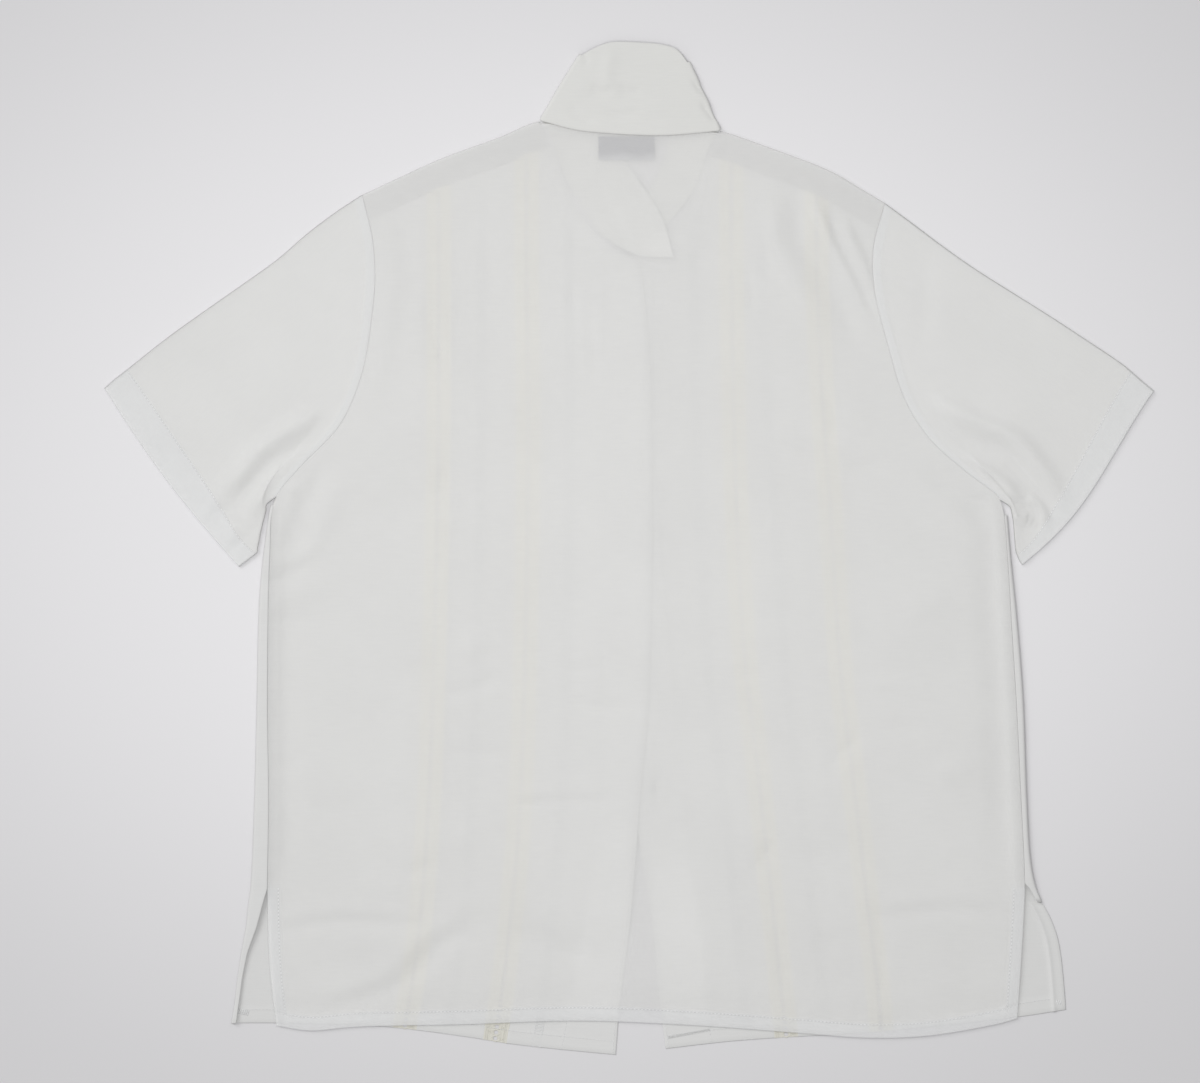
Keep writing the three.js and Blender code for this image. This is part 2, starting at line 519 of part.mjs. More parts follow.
// ---- Sleeves ----
function buildSleeve(side) {
  const isLeft = side === 'left';
  const sign = isLeft ? -1 : 1;
  const stations = isLeft ? leftSleeve : rightSleeve;
  const first = stations[0];
  const shares = [...ARMHOLE].reverse().map((share) => (1 - share) / (1 - ARMHOLE[0]));
  // The way out over a fold is square to it, but turns into the armhole's own line at the armhole.
  const outOf = (k, names, atArmhole, settled) => {
    const before = stations[Math.max(k - 1, 0)];
    const after = stations[Math.min(k + 1, stations.length - 1)];
    const run = new THREE.Vector2(after[names[0]] - before[names[0]], after[names[1]] - before[names[1]]);
    const square = new THREE.Vector2(run.y, -run.x).normalize();
    const away = names[0] === 'topX' ? -sign : sign;
    return atArmhole.clone().lerp(square.multiplyScalar(away), clamp(k / settled, 0, 1)).normalize();
  };
  const pitOut = new THREE.Vector2(sign * UNDERARM_OUT.x, UNDERARM_OUT.y);
  const cuffOut = new THREE.Vector2(sign * CUFF_WAY.x, CUFF_WAY.y);
  const rings = stations.map((station, k) => {
    const s = k / (stations.length - 1);
    const wall = k >= SLEEVE_HEM_FROM ? DOUBLE : CLOTH;
    const top = new THREE.Vector2(station.topX, station.topY);
    const under = new THREE.Vector2(station.underX, station.underY);
    const clear = lerp(SLEEVE_CLEAR.armhole, SLEEVE_CLEAR.cuff, s);
    const upper = [];
    const lower = [];
    shares.forEach((share) => {
      const p = top.clone().lerp(under, share);
      const armX = sideX(side, lerp(first.topY, first.underY, share));
      p.x += (armX - lerp(first.topX, first.underX, share)) * (1 - s) ** 2 + sign * SEAM_GAP;
      const bow = CUFF_BOW[side].depth * Math.sin(Math.PI * share ** CUFF_BOW[side].skew) * s ** 3;
      p.add(cuffOut.clone().multiplyScalar(bow));
      const swing = Math.sin(Math.PI * share ** UNDER_SWING.nearFold);
      p.x += sign * UNDER_SWING.depth * swing * Math.sin(Math.PI * s ** UNDER_SWING.nearArmhole);
      const folded = clear + foldHeight(sleeveFolds, p.x, p.y) * Math.min(1, s / SLEEVE_FOLDS_FROM);
      const height = k ? Math.max(folded, SLEEVE_LEAST) : backLow(p.x - sign * SEAM_GAP, p.y);
      upper.push([p.x, p.y, height + wall / 2, wall]);
      lower.push([p.x, p.y, wall / 2, wall]);
    });
    const topOut = outOf(k, ['topX', 'topY'], SHOULDER_OUT[side].armhole, SETTLED.top);
    const underOut = outOf(k, ['underX', 'underY'], pitOut, SETTLED.under);
    const topTurn = turnedEdge(upper[0], topOut, wall / 2, 0, wall).reverse();
    const underTurn = turnedEdge(upper.at(-1), underOut, wall / 2, 0, wall);
    return [...topTurn.slice(0, -1), ...upper, ...underTurn.slice(1), ...lower.reverse().slice(1)];
  });
  const cloth = new Cloth().patch(isLeft ? rings : rings.map((ring) => [...ring].reverse()));
  addPiece(`sleeve_${side}`, cloth.wall(), WHITE_CLOTH);
}

// ---- Collar ----
function buildCollar() {
  const wall = COLLAR_CLOTH;
  const sections = [];
  const lineOf = (entry, heightAt) => {
    const line = [];
    for (let k = 0; k <= COLLAR_STEPS; k += 1) {
      const t = k / COLLAR_STEPS;
      const x = lerp(entry.seamX, entry.edgeX, t);
      const y = lerp(entry.seamY, entry.edgeY, t);
      line.push([x, y, heightAt(x, y, t) + wall / 2, wall]);
    }
    return line;
  };
  const { height, across, along } = COLLAR_OVERLAP;
  const leftLow = (x, y) => height * fade(x, ...across) * (1 - fade(y, ...along));
  const backHigh = (x, y, t) => backLow(x, NECK_TOP_Y) + COLLAR_ROLL * Math.sin(Math.PI * t) ** 2;
  const entries = { left: [], back: [], right: [] };
  collarPath.forEach((entry) => entries[entry.part].push(entry));
  entries.left.forEach((entry) => sections.push(lineOf(entry, leftLow)));
  const turn = (entry, out, reversed) => {
    const high = lineOf(entry, backHigh);
    const columns = high.map((point) => turnedEdge(point, out, wall / 2, 0, wall));
    const rows = columns[0].map((_, k) => columns.map((column) => column[k]));
    return reversed ? rows.reverse() : rows;
  };
  const back = entries.back;
  sections.push(...turn(back[0], COLLAR_OUT.left, true));
  back.slice(1, -1).forEach((entry) => sections.push(lineOf(entry, backHigh)));
  sections.push(...turn(back[back.length - 1], COLLAR_OUT.right, false));
  entries.right.forEach((entry) => sections.push(lineOf(entry, () => 0)));
  addPiece('collar', new Cloth().patch(sections).wall(), COLLAR_WHITE);
}

// ---- Neck label ----
function buildLabel() {
  const rows = [LABEL.bottom, (LABEL.bottom + LABEL.top) / 2, LABEL.top].map((y) => {
    const line = [];
    for (let k = 0; k <= LABEL.steps; k += 1) {
      line.push([lerp(LABEL.left, LABEL.right, k / LABEL.steps), y, LABEL.clear + CLOTH / 2, CLOTH]);
    }
    return line;
  });
  addPiece('neck_label', new Cloth().patch(rows).wall(), LABEL_CLOTH);
}

// ---- Buttons: four-hole discs on the left front's outer face, through the right front's placket ----
function buildButtons() {
  const ring = (x, y, radius, sides) => Array.from({ length: sides }, (_, k) => new THREE.Vector2(
    x + radius * Math.cos((2 * Math.PI * k) / sides),
    y + radius * Math.sin((2 * Math.PI * k) / sides),
  ));
  const disc = new THREE.Shape(ring(0, 0, BUTTON.radius, BUTTON.sides));
  for (let k = 0; k < BUTTON_HOLES.count; k += 1) {
    const angle = (2 * Math.PI * (k + 0.5)) / BUTTON_HOLES.count;
    const at = [Math.cos(angle) * BUTTON_HOLES.ring, Math.sin(angle) * BUTTON_HOLES.ring];
    disc.holes.push(new THREE.Path(ring(...at, BUTTON_HOLES.radius, BUTTON_HOLES.sides).reverse()));
  }
  for (let k = 0; k < BUTTON.count; k += 1) {
    const y = BUTTON.topY - BUTTON.pitch * k;
    const geometry = new THREE.ExtrudeGeometry(disc, {
      depth: BUTTON.thickness, bevelEnabled: false, steps: 1,
    });
    geometry.translate(buttonX(y), y, 0);
    addPiece(`button_${k + 1}`, geometry, BUTTON_WHITE);
  }
}

buildBack();
buildFront('left');
buildFront('right');
buildSleeve('left');
buildSleeve('right');
buildCollar();
buildLabel();
buildButtons();

export default shirt;
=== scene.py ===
# A short-sleeved button-up shirt of thin white cloth, laid face down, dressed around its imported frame.
# Shapes are worked out in millimetres and turned into metres when a mesh is made.
# x runs across the shirt, y from the hem to the collar, z up from the table.
import math
import bpy
import numpy as np
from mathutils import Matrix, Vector


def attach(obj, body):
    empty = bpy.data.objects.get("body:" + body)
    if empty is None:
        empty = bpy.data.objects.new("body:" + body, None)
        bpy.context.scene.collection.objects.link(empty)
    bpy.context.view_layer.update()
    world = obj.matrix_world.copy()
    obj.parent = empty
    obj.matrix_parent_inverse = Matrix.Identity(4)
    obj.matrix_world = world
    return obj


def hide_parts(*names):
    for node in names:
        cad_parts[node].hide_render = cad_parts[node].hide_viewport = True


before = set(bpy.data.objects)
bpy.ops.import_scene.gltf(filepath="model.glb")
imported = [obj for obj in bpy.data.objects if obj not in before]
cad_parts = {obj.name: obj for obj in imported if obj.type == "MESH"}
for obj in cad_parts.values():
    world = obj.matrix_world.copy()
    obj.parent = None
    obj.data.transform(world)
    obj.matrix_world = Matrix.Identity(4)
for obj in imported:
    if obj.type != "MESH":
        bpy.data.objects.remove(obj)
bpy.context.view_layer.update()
rng = np.random.default_rng(7)
mm = 0.001

# one layer's wall, a doubled one's, the back's height over the fronts and at its hem, half a solid wall,
# the gap under a layer and the height of the underarms
cloth = {"wall": 0.5, "hemWall": 0.9, "backClear": 3.2, "hemClear": 1.9, "middle": 0.5,
         "gap": 0.04, "pit": 44}
hemRows = [10, 10.8, 11.6, 12.4]  # rows set close together where a hem's stitches run
turnRows = 8  # steps round the half circle of a fold
sides = {"left": -1, "right": 1}

# Outlines, as points joined by smooth curves
outlines = {
    "backLeft": [(-289, -391), (-294, -346), (-296, -292), (-295, -206), (-296, -124), (-294, -4),
                 (-290, 40), (-270, 66), (-237, 101), (-219, 142), (-211, 187), (-208, 220),
                 (-210, 253), (-218, 288)],
    "backRight": [(318, -385), (320, -354), (323, -305), (324, -276), (321, -206), (317, -124),
                  (313, -59), (310, -9), (306, 34), (302, 43), (280, 60), (247, 89), (226, 122),
                  (212, 167), (201, 212), (200, 245), (209, 281)],
    "backHem": [(-289, -391), (-262, -395), (-225, -392), (-139, -390), (-40, -387), (58, -391),
                (140, -397), (198, -401), (247, -399), (304, -389), (318, -385)],
    "backTop": [(-218, 288), (-188, 302), (-155, 317), (-106, 335), (-72, 348), (-44, 343), (-24, 341),
                (9, 339), (34, 339), (58, 341), (74, 340), (116, 326), (165, 307), (189, 293), (209, 281)],
    "leftFold": [(-293.5, 38), (-296, 23), (-299.5, -4), (-303, -42), (-305, -124), (-307, -206),
                 (-310, -276), (-312, -291), (-314, -310), (-318, -332), (-321, -352), (-324, -377),
                 (-326, -389)],
    "rightFold": [(310, 27), (313, -9), (318, -59), (323, -124), (326, -206), (329, -255), (333, -276),
                  (339, -291)],
    "rightSlit": [(339, -291), (345, -302), (351, -318), (354, -334), (356.5, -358), (358, -378)],
    "leftNeck": [(9, 236), (-14, 247), (-36, 269), (-55, 300), (-65, 330)],
    "rightNeck": [(-20, 236), (-4, 238), (21, 249), (40, 269), (57, 294), (67, 322)],
    "leftHem": [(-326, -389), (-289, -389), (-201, -392), (-129, -401), (-98, -406), (-63, -410),
                (-11, -415)],
    "rightHem": [(30, -410), (83, -404), (140, -400), (181, -398), (319, -384), (358, -378)],
}
# The fronts' lines by height: button edge, facing's inner edge and the middles of the two lace bands.
lineHeights = {"left": [236, 171, 40, -124, -206, -305, -378, -415],
               "right": [236, 122, 40, -91, -157, -231, -305, -370, -410]}
frontLines = {
    "left": {"edge": [9, 16, 19, 16, 9, 1, -8, -11], "facing": [-22, -23, -23, -25, -28, -38, -50, -57],
             "inner": [-84, -83, -83, -86, -89, -97, -105, -110],
             "outer": [-156, -156, -157, -161, -164, -171, -179, -184]},
    "right": {"edge": [-20, -22, -20, -9, -2, 7, 19, 25, 30], "facing": [20, 22, 25, 36, 42, 50, 58, 65, 69],
              "inner": [84, 86, 88, 95, 103, 111, 119, 125, 129],
              "outer": [154, 160, 165, 173, 180, 189, 197, 204, 207]},
}
# The free turned-over edge beside each slit: height on the shirt, its end in x and its upper face's z.
freeEdges = {
    "left": {"y": [-276, -291, -310, -332, -352, -389], "edge": [-295.5, -300, -305, -313, -317, -322],
             "rise": [4.4, 4.6, 4.4, 3.4, 2.8, 3.4]},
    "right": {"y": [-276, -291], "edge": [327, 335], "rise": [4.2, 3.4]},
}


def smoothCurve(points, perSpan=40):
    # centripetal Catmull-Rom: each span is a cubic whose end slopes come from its neighbours,
    # with knots spaced by the square root of the distance
    p = np.array(points, float)
    p = np.vstack([2 * p[0] - p[1], p, 2 * p[-1] - p[-2]])
    knot = np.sqrt(np.linalg.norm(np.diff(p, axis=0), axis=1))
    t = np.linspace(0, 1, perSpan, endpoint=False)[None, :, None]
    d0, d1, d2 = (knot[i:len(knot) - 2 + i, None, None] for i in range(3))
    a, b, c, d = (p[i:len(p) - 3 + i, None, :] for i in range(4))
    slopeB = ((b - a) / d0 - (c - a) / (d0 + d1) + (c - b) / d1) * d1
    slopeC = ((c - b) / d1 - (d - b) / (d1 + d2) + (d - c) / d2) * d1
    span = (b * (2 * t**3 - 3 * t**2 + 1) + slopeB * (t**3 - 2 * t**2 + t)
            + c * (3 * t**2 - 2 * t**3) + slopeC * (t**3 - t**2))
    return np.vstack([span.reshape(-1, p.shape[1]), p[-2]])


curves = {name: smoothCurve(points) for name, points in outlines.items()}


def readCurve(name, key, value):
    # the other coordinate of a curve where its x (key 0) or y (key 1) has a value
    line = curves[name]
    order = np.argsort(line[:, key], kind="stable")
    return np.interp(value, line[order, key], line[order, 1 - key])


def readColumn(heights, values, y):
    # a smooth column of a table by height
    line = smoothCurve(list(zip(heights, values)), 16)
    order = np.argsort(line[:, 0], kind="stable")
    return np.interp(y, line[order, 0], line[order, 1])


def frontLine(side, name, y):
    return readColumn(lineHeights[side], frontLines[side][name], y)


def fade(x, start, end):
    # 0 before start and 1 after end, with soft ends: 3t^2 - 2t^3
    t = np.clip((x - start) / (end - start), 0, 1)
    return t * t * (3 - 2 * t)


def bump(x, middle, half):
    return np.exp(-((x - middle) / half) ** 2)


# Folds: routes over the cloth with a half width and a height, a trough where it is negative
folds = {
    "back": [
        ([(136, 296), (140, 256), (156, 226), (172, 202), (188, 166)], 9, -1.6),
        ([(116, 290), (121, 252), (136, 218), (156, 186)], 9, 1.7),
        ([(163, 270), (172, 247), (186, 220), (204, 188)], 3.8, -1.6),
        ([(150, 290), (162, 260), (178, 230), (192, 206)], 5, 2.6),
        ([(174, 270), (186, 244), (200, 214)], 4.5, 2.4),
        ([(110, 308), (112, 268), (104, 236)], 12, 0.5),
        ([(-246, 72), (-262, 42), (-271, 8), (-283, -2)], 8, -1.4),
        ([(-236, 58), (-250, 22), (-260, -6)], 8, 1.1),
        ([(-272, 52), (-281, 28), (-288, 8)], 6, 1.2),
        ([(-298, -31), (-280, -22), (-256, -11)], 5, -1.3),
        ([(-294, -46), (-275, -38), (-252, -30)], 7, 0.8),
        ([(-290, -14), (-272, -6), (-256, 2)], 6, 0.7),
        ([(-298, -62), (-272, -58), (-250, -60)], 6, -0.7),
        ([(-200, 266), (-196, 220), (-200, 165), (-210, 120)], 8, 0.7),
        ([(-186, 270), (-181, 220), (-186, 168)], 9, -0.5),
        ([(-294, -314), (-240, -306), (-171, -309)], 5.5, -1.0),
        ([(-290, -303), (-240, -295), (-175, -298)], 6, 0.5),
        ([(196, -303), (262, -296), (314, -300)], 6, -0.9),
        ([(206, -291), (262, -285), (314, -287)], 7, 0.35),
        ([(-122, -309), (-155, -325), (-190, -358), (-253, -381)], 9, -1.6),
        ([(-135, -298), (-170, -318), (-208, -352), (-262, -368)], 9, 1.0),
        ([(-98, -313), (-60, -326), (-32, -334)], 9, -1.2),
        ([(-102, -213), (-76, -208), (-44, -206), (-10, -209)], 3.6, -0.9),
        ([(-96, -205), (-60, -199), (-20, -200)], 6, 0.3),
        ([(-155, -121), (-130, -115), (-104, -103)], 6, -0.8),
        ([(-52, -101), (-24, -98)], 5, -0.6),
        ([(194, -109), (225, -113), (255, -124)], 4.5, 0.8),
        ([(206, -341), (238, -350), (271, -362)], 7, 0.5),
        ([(99, -251), (140, -254), (181, -247)], 9, -0.5),
        ([(-294, -183), (-278, -176), (-262, -165)], 6, -0.6),
        ([(244, 62), (270, 42), (296, 20)], 7, -1.2),
        ([(256, 40), (274, 22), (290, 2)], 7, 0.7),
        ([(302, 14), (296, -30), (300, -100), (302, -190), (300, -262)], 12, -0.8),
        ([(262, -246), (290, -268), (314, -290)], 9, -0.9),
        ([(203, -282), (207, -330), (208, -372)], 7, -0.6),
        ([(-20, 286), (-8, 262), (2, 242), (10, 236)], 6, -0.5),
        ([(-120, 250), (-108, 200), (-98, 160)], 9, -0.4),
        ([(-34, 212), (-30, 170), (-27, 130)], 6, -0.4),
        ([(40, 232), (80, 244), (122, 238)], 8, -0.35),
        ([(-250, -330), (-200, -322), (-150, -330)], 10, 0.4),
        ([(120, 112), (170, 98), (214, 104)], 9, -0.35),
        ([(-160, 60), (-110, 52), (-58, 58)], 11, -0.3),
        ([(60, -60), (110, -72), (160, -66)], 10, 0.35),
        ([(-236, -96), (-190, -104), (-150, -98)], 9, -0.4),
        ([(-200, -230), (-160, -240), (-118, -232)], 9, 0.35),
        ([(150, -330), (178, -318), (196, -322)], 8, -0.5),
        ([(-50, -127), (-24, -130), (4, -128)], 5, -0.7),
        ([(-150, -166), (-122, -168), (-96, -167)], 5, -0.6),
        ([(-182, -268), (-168, -262), (-156, -259)], 6, -0.8),
        ([(86, -106), (98, -102), (112, -107)], 6, -0.7),
        ([(204, -151), (224, -146), (242, -153)], 8, -0.8),
        ([(162, -180), (176, -166), (190, -154)], 5, -0.8),
        ([(102, -264), (112, -250), (117, -238)], 6, -0.8),
        ([(118, -310), (126, -334), (130, -358)], 6, -0.6),
        ([(-140, -86), (-124, -78), (-110, -74)], 8, 0.8),
        ([(250, -188), (263, -182), (278, -180)], 9, 0.8),
        ([(-222, -280), (-204, -276), (-186, -280)], 11, 0.7),
        ([(-152, -296), (-139, -292), (-120, -294)], 9, 0.6),
        ([(-167, 200), (-158, 170), (-153, 144)], 6, -0.9),
        ([(-152, 72), (-150, 58), (-156, 44)], 6, -0.7),
        ([(94, 230), (100, 212), (102, 192)], 6, -0.8),
        ([(162, 126), (168, 106), (165, 86)], 6, -0.9),
        ([(178, 71), (194, 66), (210, 71)], 8, -0.8),
        ([(80, 49), (88, 38), (95, 27)], 5, -0.7),
        ([(118, 96), (128, 89), (140, 84)], 8, 0.7),
        ([(-180, 24), (-158, 20), (-138, 26)], 9, 0.6),
        ([(-48, 218), (-46, 200), (-42, 184)], 5, -0.6),
        ([(-262, -210), (-240, -214), (-220, -208)], 9, -0.6),
        ([(226, -40), (240, -48), (258, -44)], 9, 0.7),
    ],
    "sleeve_left": [
        ([(-248, 96), (-271, 81), (-294, 69), (-309, 53), (-322, 37), (-335, 25)], 6, -1.3),
        ([(-252, 112), (-280, 96), (-302, 81), (-320, 60), (-336, 44)], 8, 4.2),
        ([(-258, 76), (-280, 62), (-297, 46), (-310, 27)], 6, 3.8),
        ([(-336, 34), (-342, 16)], 5, -1.1),
        ([(-322, 20), (-328, 4)], 5, 1.2),
        ([(-362, 66), (-356, 44), (-348, 30)], 7, -0.9),
        ([(-334, -8), (-318, 6), (-301, 22)], 2.8, -0.55),
        ([(-330, 44), (-352, 24)], 7, 0.5),
        ([(-230, 240), (-260, 205), (-300, 180)], 14, -0.35),
        ([(-280, 130), (-330, 105), (-372, 92)], 15, 0.35),
    ],
    "sleeve_right": [
        ([(243, 108), (271, 91), (306, 77), (322, 62), (341, 37), (350, 19)], 6, -1.3),
        ([(246, 124), (284, 104), (316, 90), (336, 68), (356, 42)], 8, 4.6),
        ([(258, 78), (290, 64), (308, 52), (322, 34)], 6, 4.2),
        ([(310, 40), (324, 34), (335, 26), (330, 16), (320, 20)], 3.4, -1.4),
        ([(326, 44), (337, 34), (341, 20)], 4, 2.2),
        ([(316, 28), (327, 24)], 3.4, 2.0),
        ([(317, 13), (325, 4), (334, -8)], 2.8, -0.55),
        ([(228, 150), (244, 200), (238, 246)], 9, -0.6),
        ([(290, 110), (330, 90), (366, 66)], 13, 0.4),
        ([(262, 214), (310, 170), (350, 150)], 15, -0.35),
    ],
    "collar": [
        ([(-32, 378), (-22, 374.5), (-12, 376)], 3, -1.0),
        ([(-8, 378), (0, 374), (10, 375)], 3, -0.9),
        ([(-44, 368), (-20, 371), (8, 369), (26, 372)], 6, -0.7),
        ([(-14, 408), (-18, 388), (-14, 372)], 6, 0.9),
        ([(-38, 406), (-33, 397)], 3, -1.0),
        ([(52, 382), (60, 374), (68, 365)], 2.6, -1.5),
        ([(59, 364), (66, 356), (71, 349)], 2.6, -1.5),
        ([(-20, 357), (-8, 355.5), (8, 357)], 2.2, -0.9),
        ([(-50, 362), (-38, 352), (-28, 349)], 3, -0.7),
    ],
}


def foldRelief(name, x, y):
    # each fold adds height * exp(-(distance / half)^2), and fades out towards both ends of its route
    relief = np.zeros_like(x)
    for route, half, height in folds[name]:
        line = smoothCurve(route, 5)
        steps = np.linalg.norm(np.diff(line, axis=0), axis=1)
        run = np.concatenate([[0], np.cumsum(steps)])
        nearest = np.full(x.shape, np.inf)
        along = np.zeros_like(x)
        for i in range(len(steps)):
            delta = line[i + 1] - line[i]
            t = np.clip(((x - line[i, 0]) * delta[0] + (y - line[i, 1]) * delta[1]) / steps[i] ** 2, 0, 1)
            distance = np.hypot(x - line[i, 0] - t * delta[0], y - line[i, 1] - t * delta[1])
            closer = distance < nearest
            nearest = np.where(closer, distance, nearest)
            along = np.where(closer, (run[i] + t * steps[i]) / run[-1], along)
        ends = fade(along, -0.1, 0.25) * (1 - fade(along, 0.75, 1.1))
        relief += height * ends * np.exp(-((nearest / half) ** 2))
    return relief


waves = [(rng.uniform(0.012, 0.05), rng.uniform(0, 2 * math.pi), rng.uniform(0, 2 * math.pi),
          rng.uniform(0.4, 1)) for _ in range(14)]


def limpness(x, y, size):
    # the slight unevenness of cloth that lies free: a sum of fourteen sine waves in random directions
    total = np.zeros_like(x)
    for pace, heading, phase, share in waves:
        total += share * np.sin(pace * (x * math.cos(heading) + y * math.sin(heading)) + phase)
    return size * total / 3


# Heights: each layer lies on the one below, as in the frame
def buttonX(y):
    return frontLine("left", "edge", y) - 22


def rightFrontLow(x, y):
    across = 1 - fade(np.abs(x - buttonX(y)), 9, 38)
    return 2.1 * across * fade(y, -330, -290) * (1 - fade(y, 213, 236))


def leftFrontLow(x, y):
    return rightFrontLow(x, y) + 1.1 * fade(x - frontLine("right", "edge", y), -26, -3)


def backLow(x, y):
    # the fronts' thickness, a ridge over the buttons, a roll and a valley along each side, and the folds
    centre = 1 - fade(np.abs(x - buttonX(y)), 12, 62)
    ridge = 1.7 * centre * fade(y, -345, -290) * (1 - 0.78 * fade(y, 236, 296))
    side = np.minimum(x - readCurve("backLeft", 1, y), readCurve("backRight", 1, y) - x)
    belowPit = y < cloth["pit"]
    roll = 0.9 * belowPit * (1 - fade(side, 4, 16)) * fade(y, -300, -270) * (1 - fade(y, -20, 30))
    valley = 0.8 * belowPit * fade(side, 6, 14) * (1 - fade(side, 16, 34)) * fade(y, -280, -240)
    hem = fade(y - readCurve("backHem", 0, x), 6, 34)
    relief = foldRelief("back", x, y) * (1 - fade(y, 318, 334))
    height = cloth["hemClear"] + (cloth["backClear"] - cloth["hemClear"]) * hem + ridge + roll
    return np.maximum(height + (relief - valley) * hem, 1.6)


def bareShare(x, y):
    # 1 where a front lies in the open, past the back's hem or its side, and 0 under the back; the finishes
    # paint shade where it is 1
    below = 1 - fade(y - readCurve("backHem", 0, x), 2, 6)
    beside = np.maximum(readCurve("backLeft", 1, y) - x, x - readCurve("backRight", 1, y))
    return np.maximum(below, fade(beside, -7, -3.5) * (y < cloth["pit"]))


def inOpen(x, y, doubled):
    # the finishes read -1 as one layer in the open and -0.9 as a doubled one there, and darken both as
    # painted shade
    return layersAndShadeTone(doubled, bareShare(x, y))


# doubled cloth counts above 0, and cloth in the open below 0, where the finishes paint shade
def layersAndShadeTone(doubled, bareShade):
    return doubled * (1 - bareShade) - bareShade * (1 - 0.1 * doubled)


# From grids to a thin closed shell
def stamp(*parts):
    # a patch is an array of rows x columns x [x, y, z, wall, along, across, doubled]
    return np.stack(np.broadcast_arrays(*parts), axis=-1).astype(float)


def putObject(name, data):
    made = bpy.data.objects.new(name, data)
    bpy.context.scene.collection.objects.link(made)
    return made


def addMesh(name, points, faces, uv, doubled, materials, pick=None, smooth=True):
    # quads only; uv holds each corner's place on the flat cloth in millimetres
    mesh = bpy.data.meshes.new(name)
    mesh.vertices.add(len(points))
    mesh.vertices.foreach_set("co", (points * mm).ravel())
    mesh.loops.add(faces.size)
    mesh.loops.foreach_set("vertex_index", faces.ravel())
    mesh.polygons.add(len(faces))
    mesh.polygons.foreach_set("loop_start", np.arange(0, faces.size, 4))
    mesh.polygons.foreach_set("use_smooth", np.full(len(faces), smooth))
    mesh.update(calc_edges=True)
    mesh.uv_layers.new(name="flat").data.foreach_set("uv", (uv * mm).ravel())
    mesh.attributes.new("doubled", "FLOAT", "POINT").data.foreach_set("value", doubled)
    for material in materials if isinstance(materials, list) else [materials]:
        mesh.materials.append(material)
    if pick is not None:
        mesh.polygons.foreach_set("material_index", pick)
    return putObject(name, mesh)


def clothShell(name, patches, material, edgeWall=0.5, picks=None):
    # the patches' shared points are merged, both faces stand half the wall off along the normals,
    # and every free edge is closed by a rim on which the wall is thinner
    cells, kinds, starts = [], [], 0
    for number, patch in enumerate(patches):
        rows, columns = patch.shape[:2]
        index = starts + np.arange(rows * columns).reshape(rows, columns)
        corners = [index[:-1, :-1], index[:-1, 1:], index[1:, 1:], index[1:, :-1]]
        cells.append(np.stack(corners, -1).reshape(-1, 4))
        kinds.append(np.full(len(cells[-1]), 0 if picks is None else picks[number]))
        starts += rows * columns
    every = np.concatenate([patch.reshape(-1, patch.shape[-1]) for patch in patches])
    raw = np.concatenate(cells)
    _, first, merged = np.unique(np.round(every[:, :3] * 400).astype(np.int64), axis=0,
                                 return_index=True, return_inverse=True)
    merged = merged.ravel()
    quads = merged[raw]
    whole = np.all(quads != np.roll(quads, 1, axis=1), axis=1)
    raw, quads, kind = raw[whole], quads[whole], np.concatenate(kinds)[whole]
    point, count = every[first], len(first)
    a, b, c, d = (point[quads[:, k], :3] for k in range(4))
    facing = np.cross(c - a, d - b)
    normal = np.zeros((count, 3))
    for k in range(4):
        np.add.at(normal, quads[:, k], facing)
    normal /= np.maximum(np.linalg.norm(normal, axis=1, keepdims=True), 1e-9)
    start, end = quads.ravel(), np.roll(quads, -1, axis=1).ravel()
    rawStart, rawEnd = raw.ravel(), np.roll(raw, -1, axis=1).ravel()
    free = ~np.isin(start * count + end, end * count + start)
    wall = point[:, 3].copy()
    wall[start[free]] *= edgeWall
    half = normal * wall[:, None] / 2
    rim = np.stack([end[free], start[free], start[free] + count, end[free] + count], -1)
    faces = np.concatenate([quads, quads[:, ::-1] + count, rim])
    place = every[:, 4:6]
    uv = np.concatenate([place[raw], place[raw[:, ::-1]],
                         np.stack([place[rawEnd[free]], place[rawStart[free]]] * 2, 1)[:, [0, 1, 3, 2]]])
    points = np.concatenate([point[:, :3] + half, point[:, :3] - half])
    pick = np.concatenate([kind, kind, np.repeat(kind, 4)[free]]).astype(np.int32)
    return addMesh(name, points, faces, uv, np.tile(point[:, 6], 2), material, pick)


def steps(length, pitch, lines=(), inset=0.4):
    # places along a length: even steps, a support just inside each end, and the lines asked for
    even = np.linspace(0, length, max(2, int(round(length / pitch)) + 1))
    extra = np.array([inset, length - inset, *lines])
    clear = np.all(np.abs(even[:, None] - extra[None, :]) > 0.45, axis=1)
    keep = even[clear | (even == 0) | (even == length)]
    return np.unique(np.concatenate([keep, extra[(extra > 0) & (extra < length)]]))


def turnOver(start, out, endZ, back):
    # rows round a half circle from the start's height to endZ, and on back by a distance:
    # place = start + out * radius * sin(angle), z = middle + radius * cos(angle)
    z = start[..., 2]
    radius = (z - endZ) / 2
    rows = []
    for angle in np.linspace(0, math.pi, turnRows + 1):
        row = start.copy()
        bulge = np.abs(radius) * math.sin(angle)
        row[..., 0] += out[0] * bulge
        row[..., 1] += out[1] * bulge
        row[..., 2] = (z + endZ) / 2 + radius * math.cos(angle)
        row[..., 4] += np.abs(radius) * angle
        rows.append(row)
    for share in (0.25, 0.5, 0.75, 0.97, 1):
        row = rows[turnRows].copy()
        row[..., 0] -= out[0] * back * share
        row[..., 1] -= out[1] * back * share
        row[..., 4] += back * share
        rows.append(row)
    return np.stack(rows)


def blendTo(a, b, t):
    return a + (b - a) * t


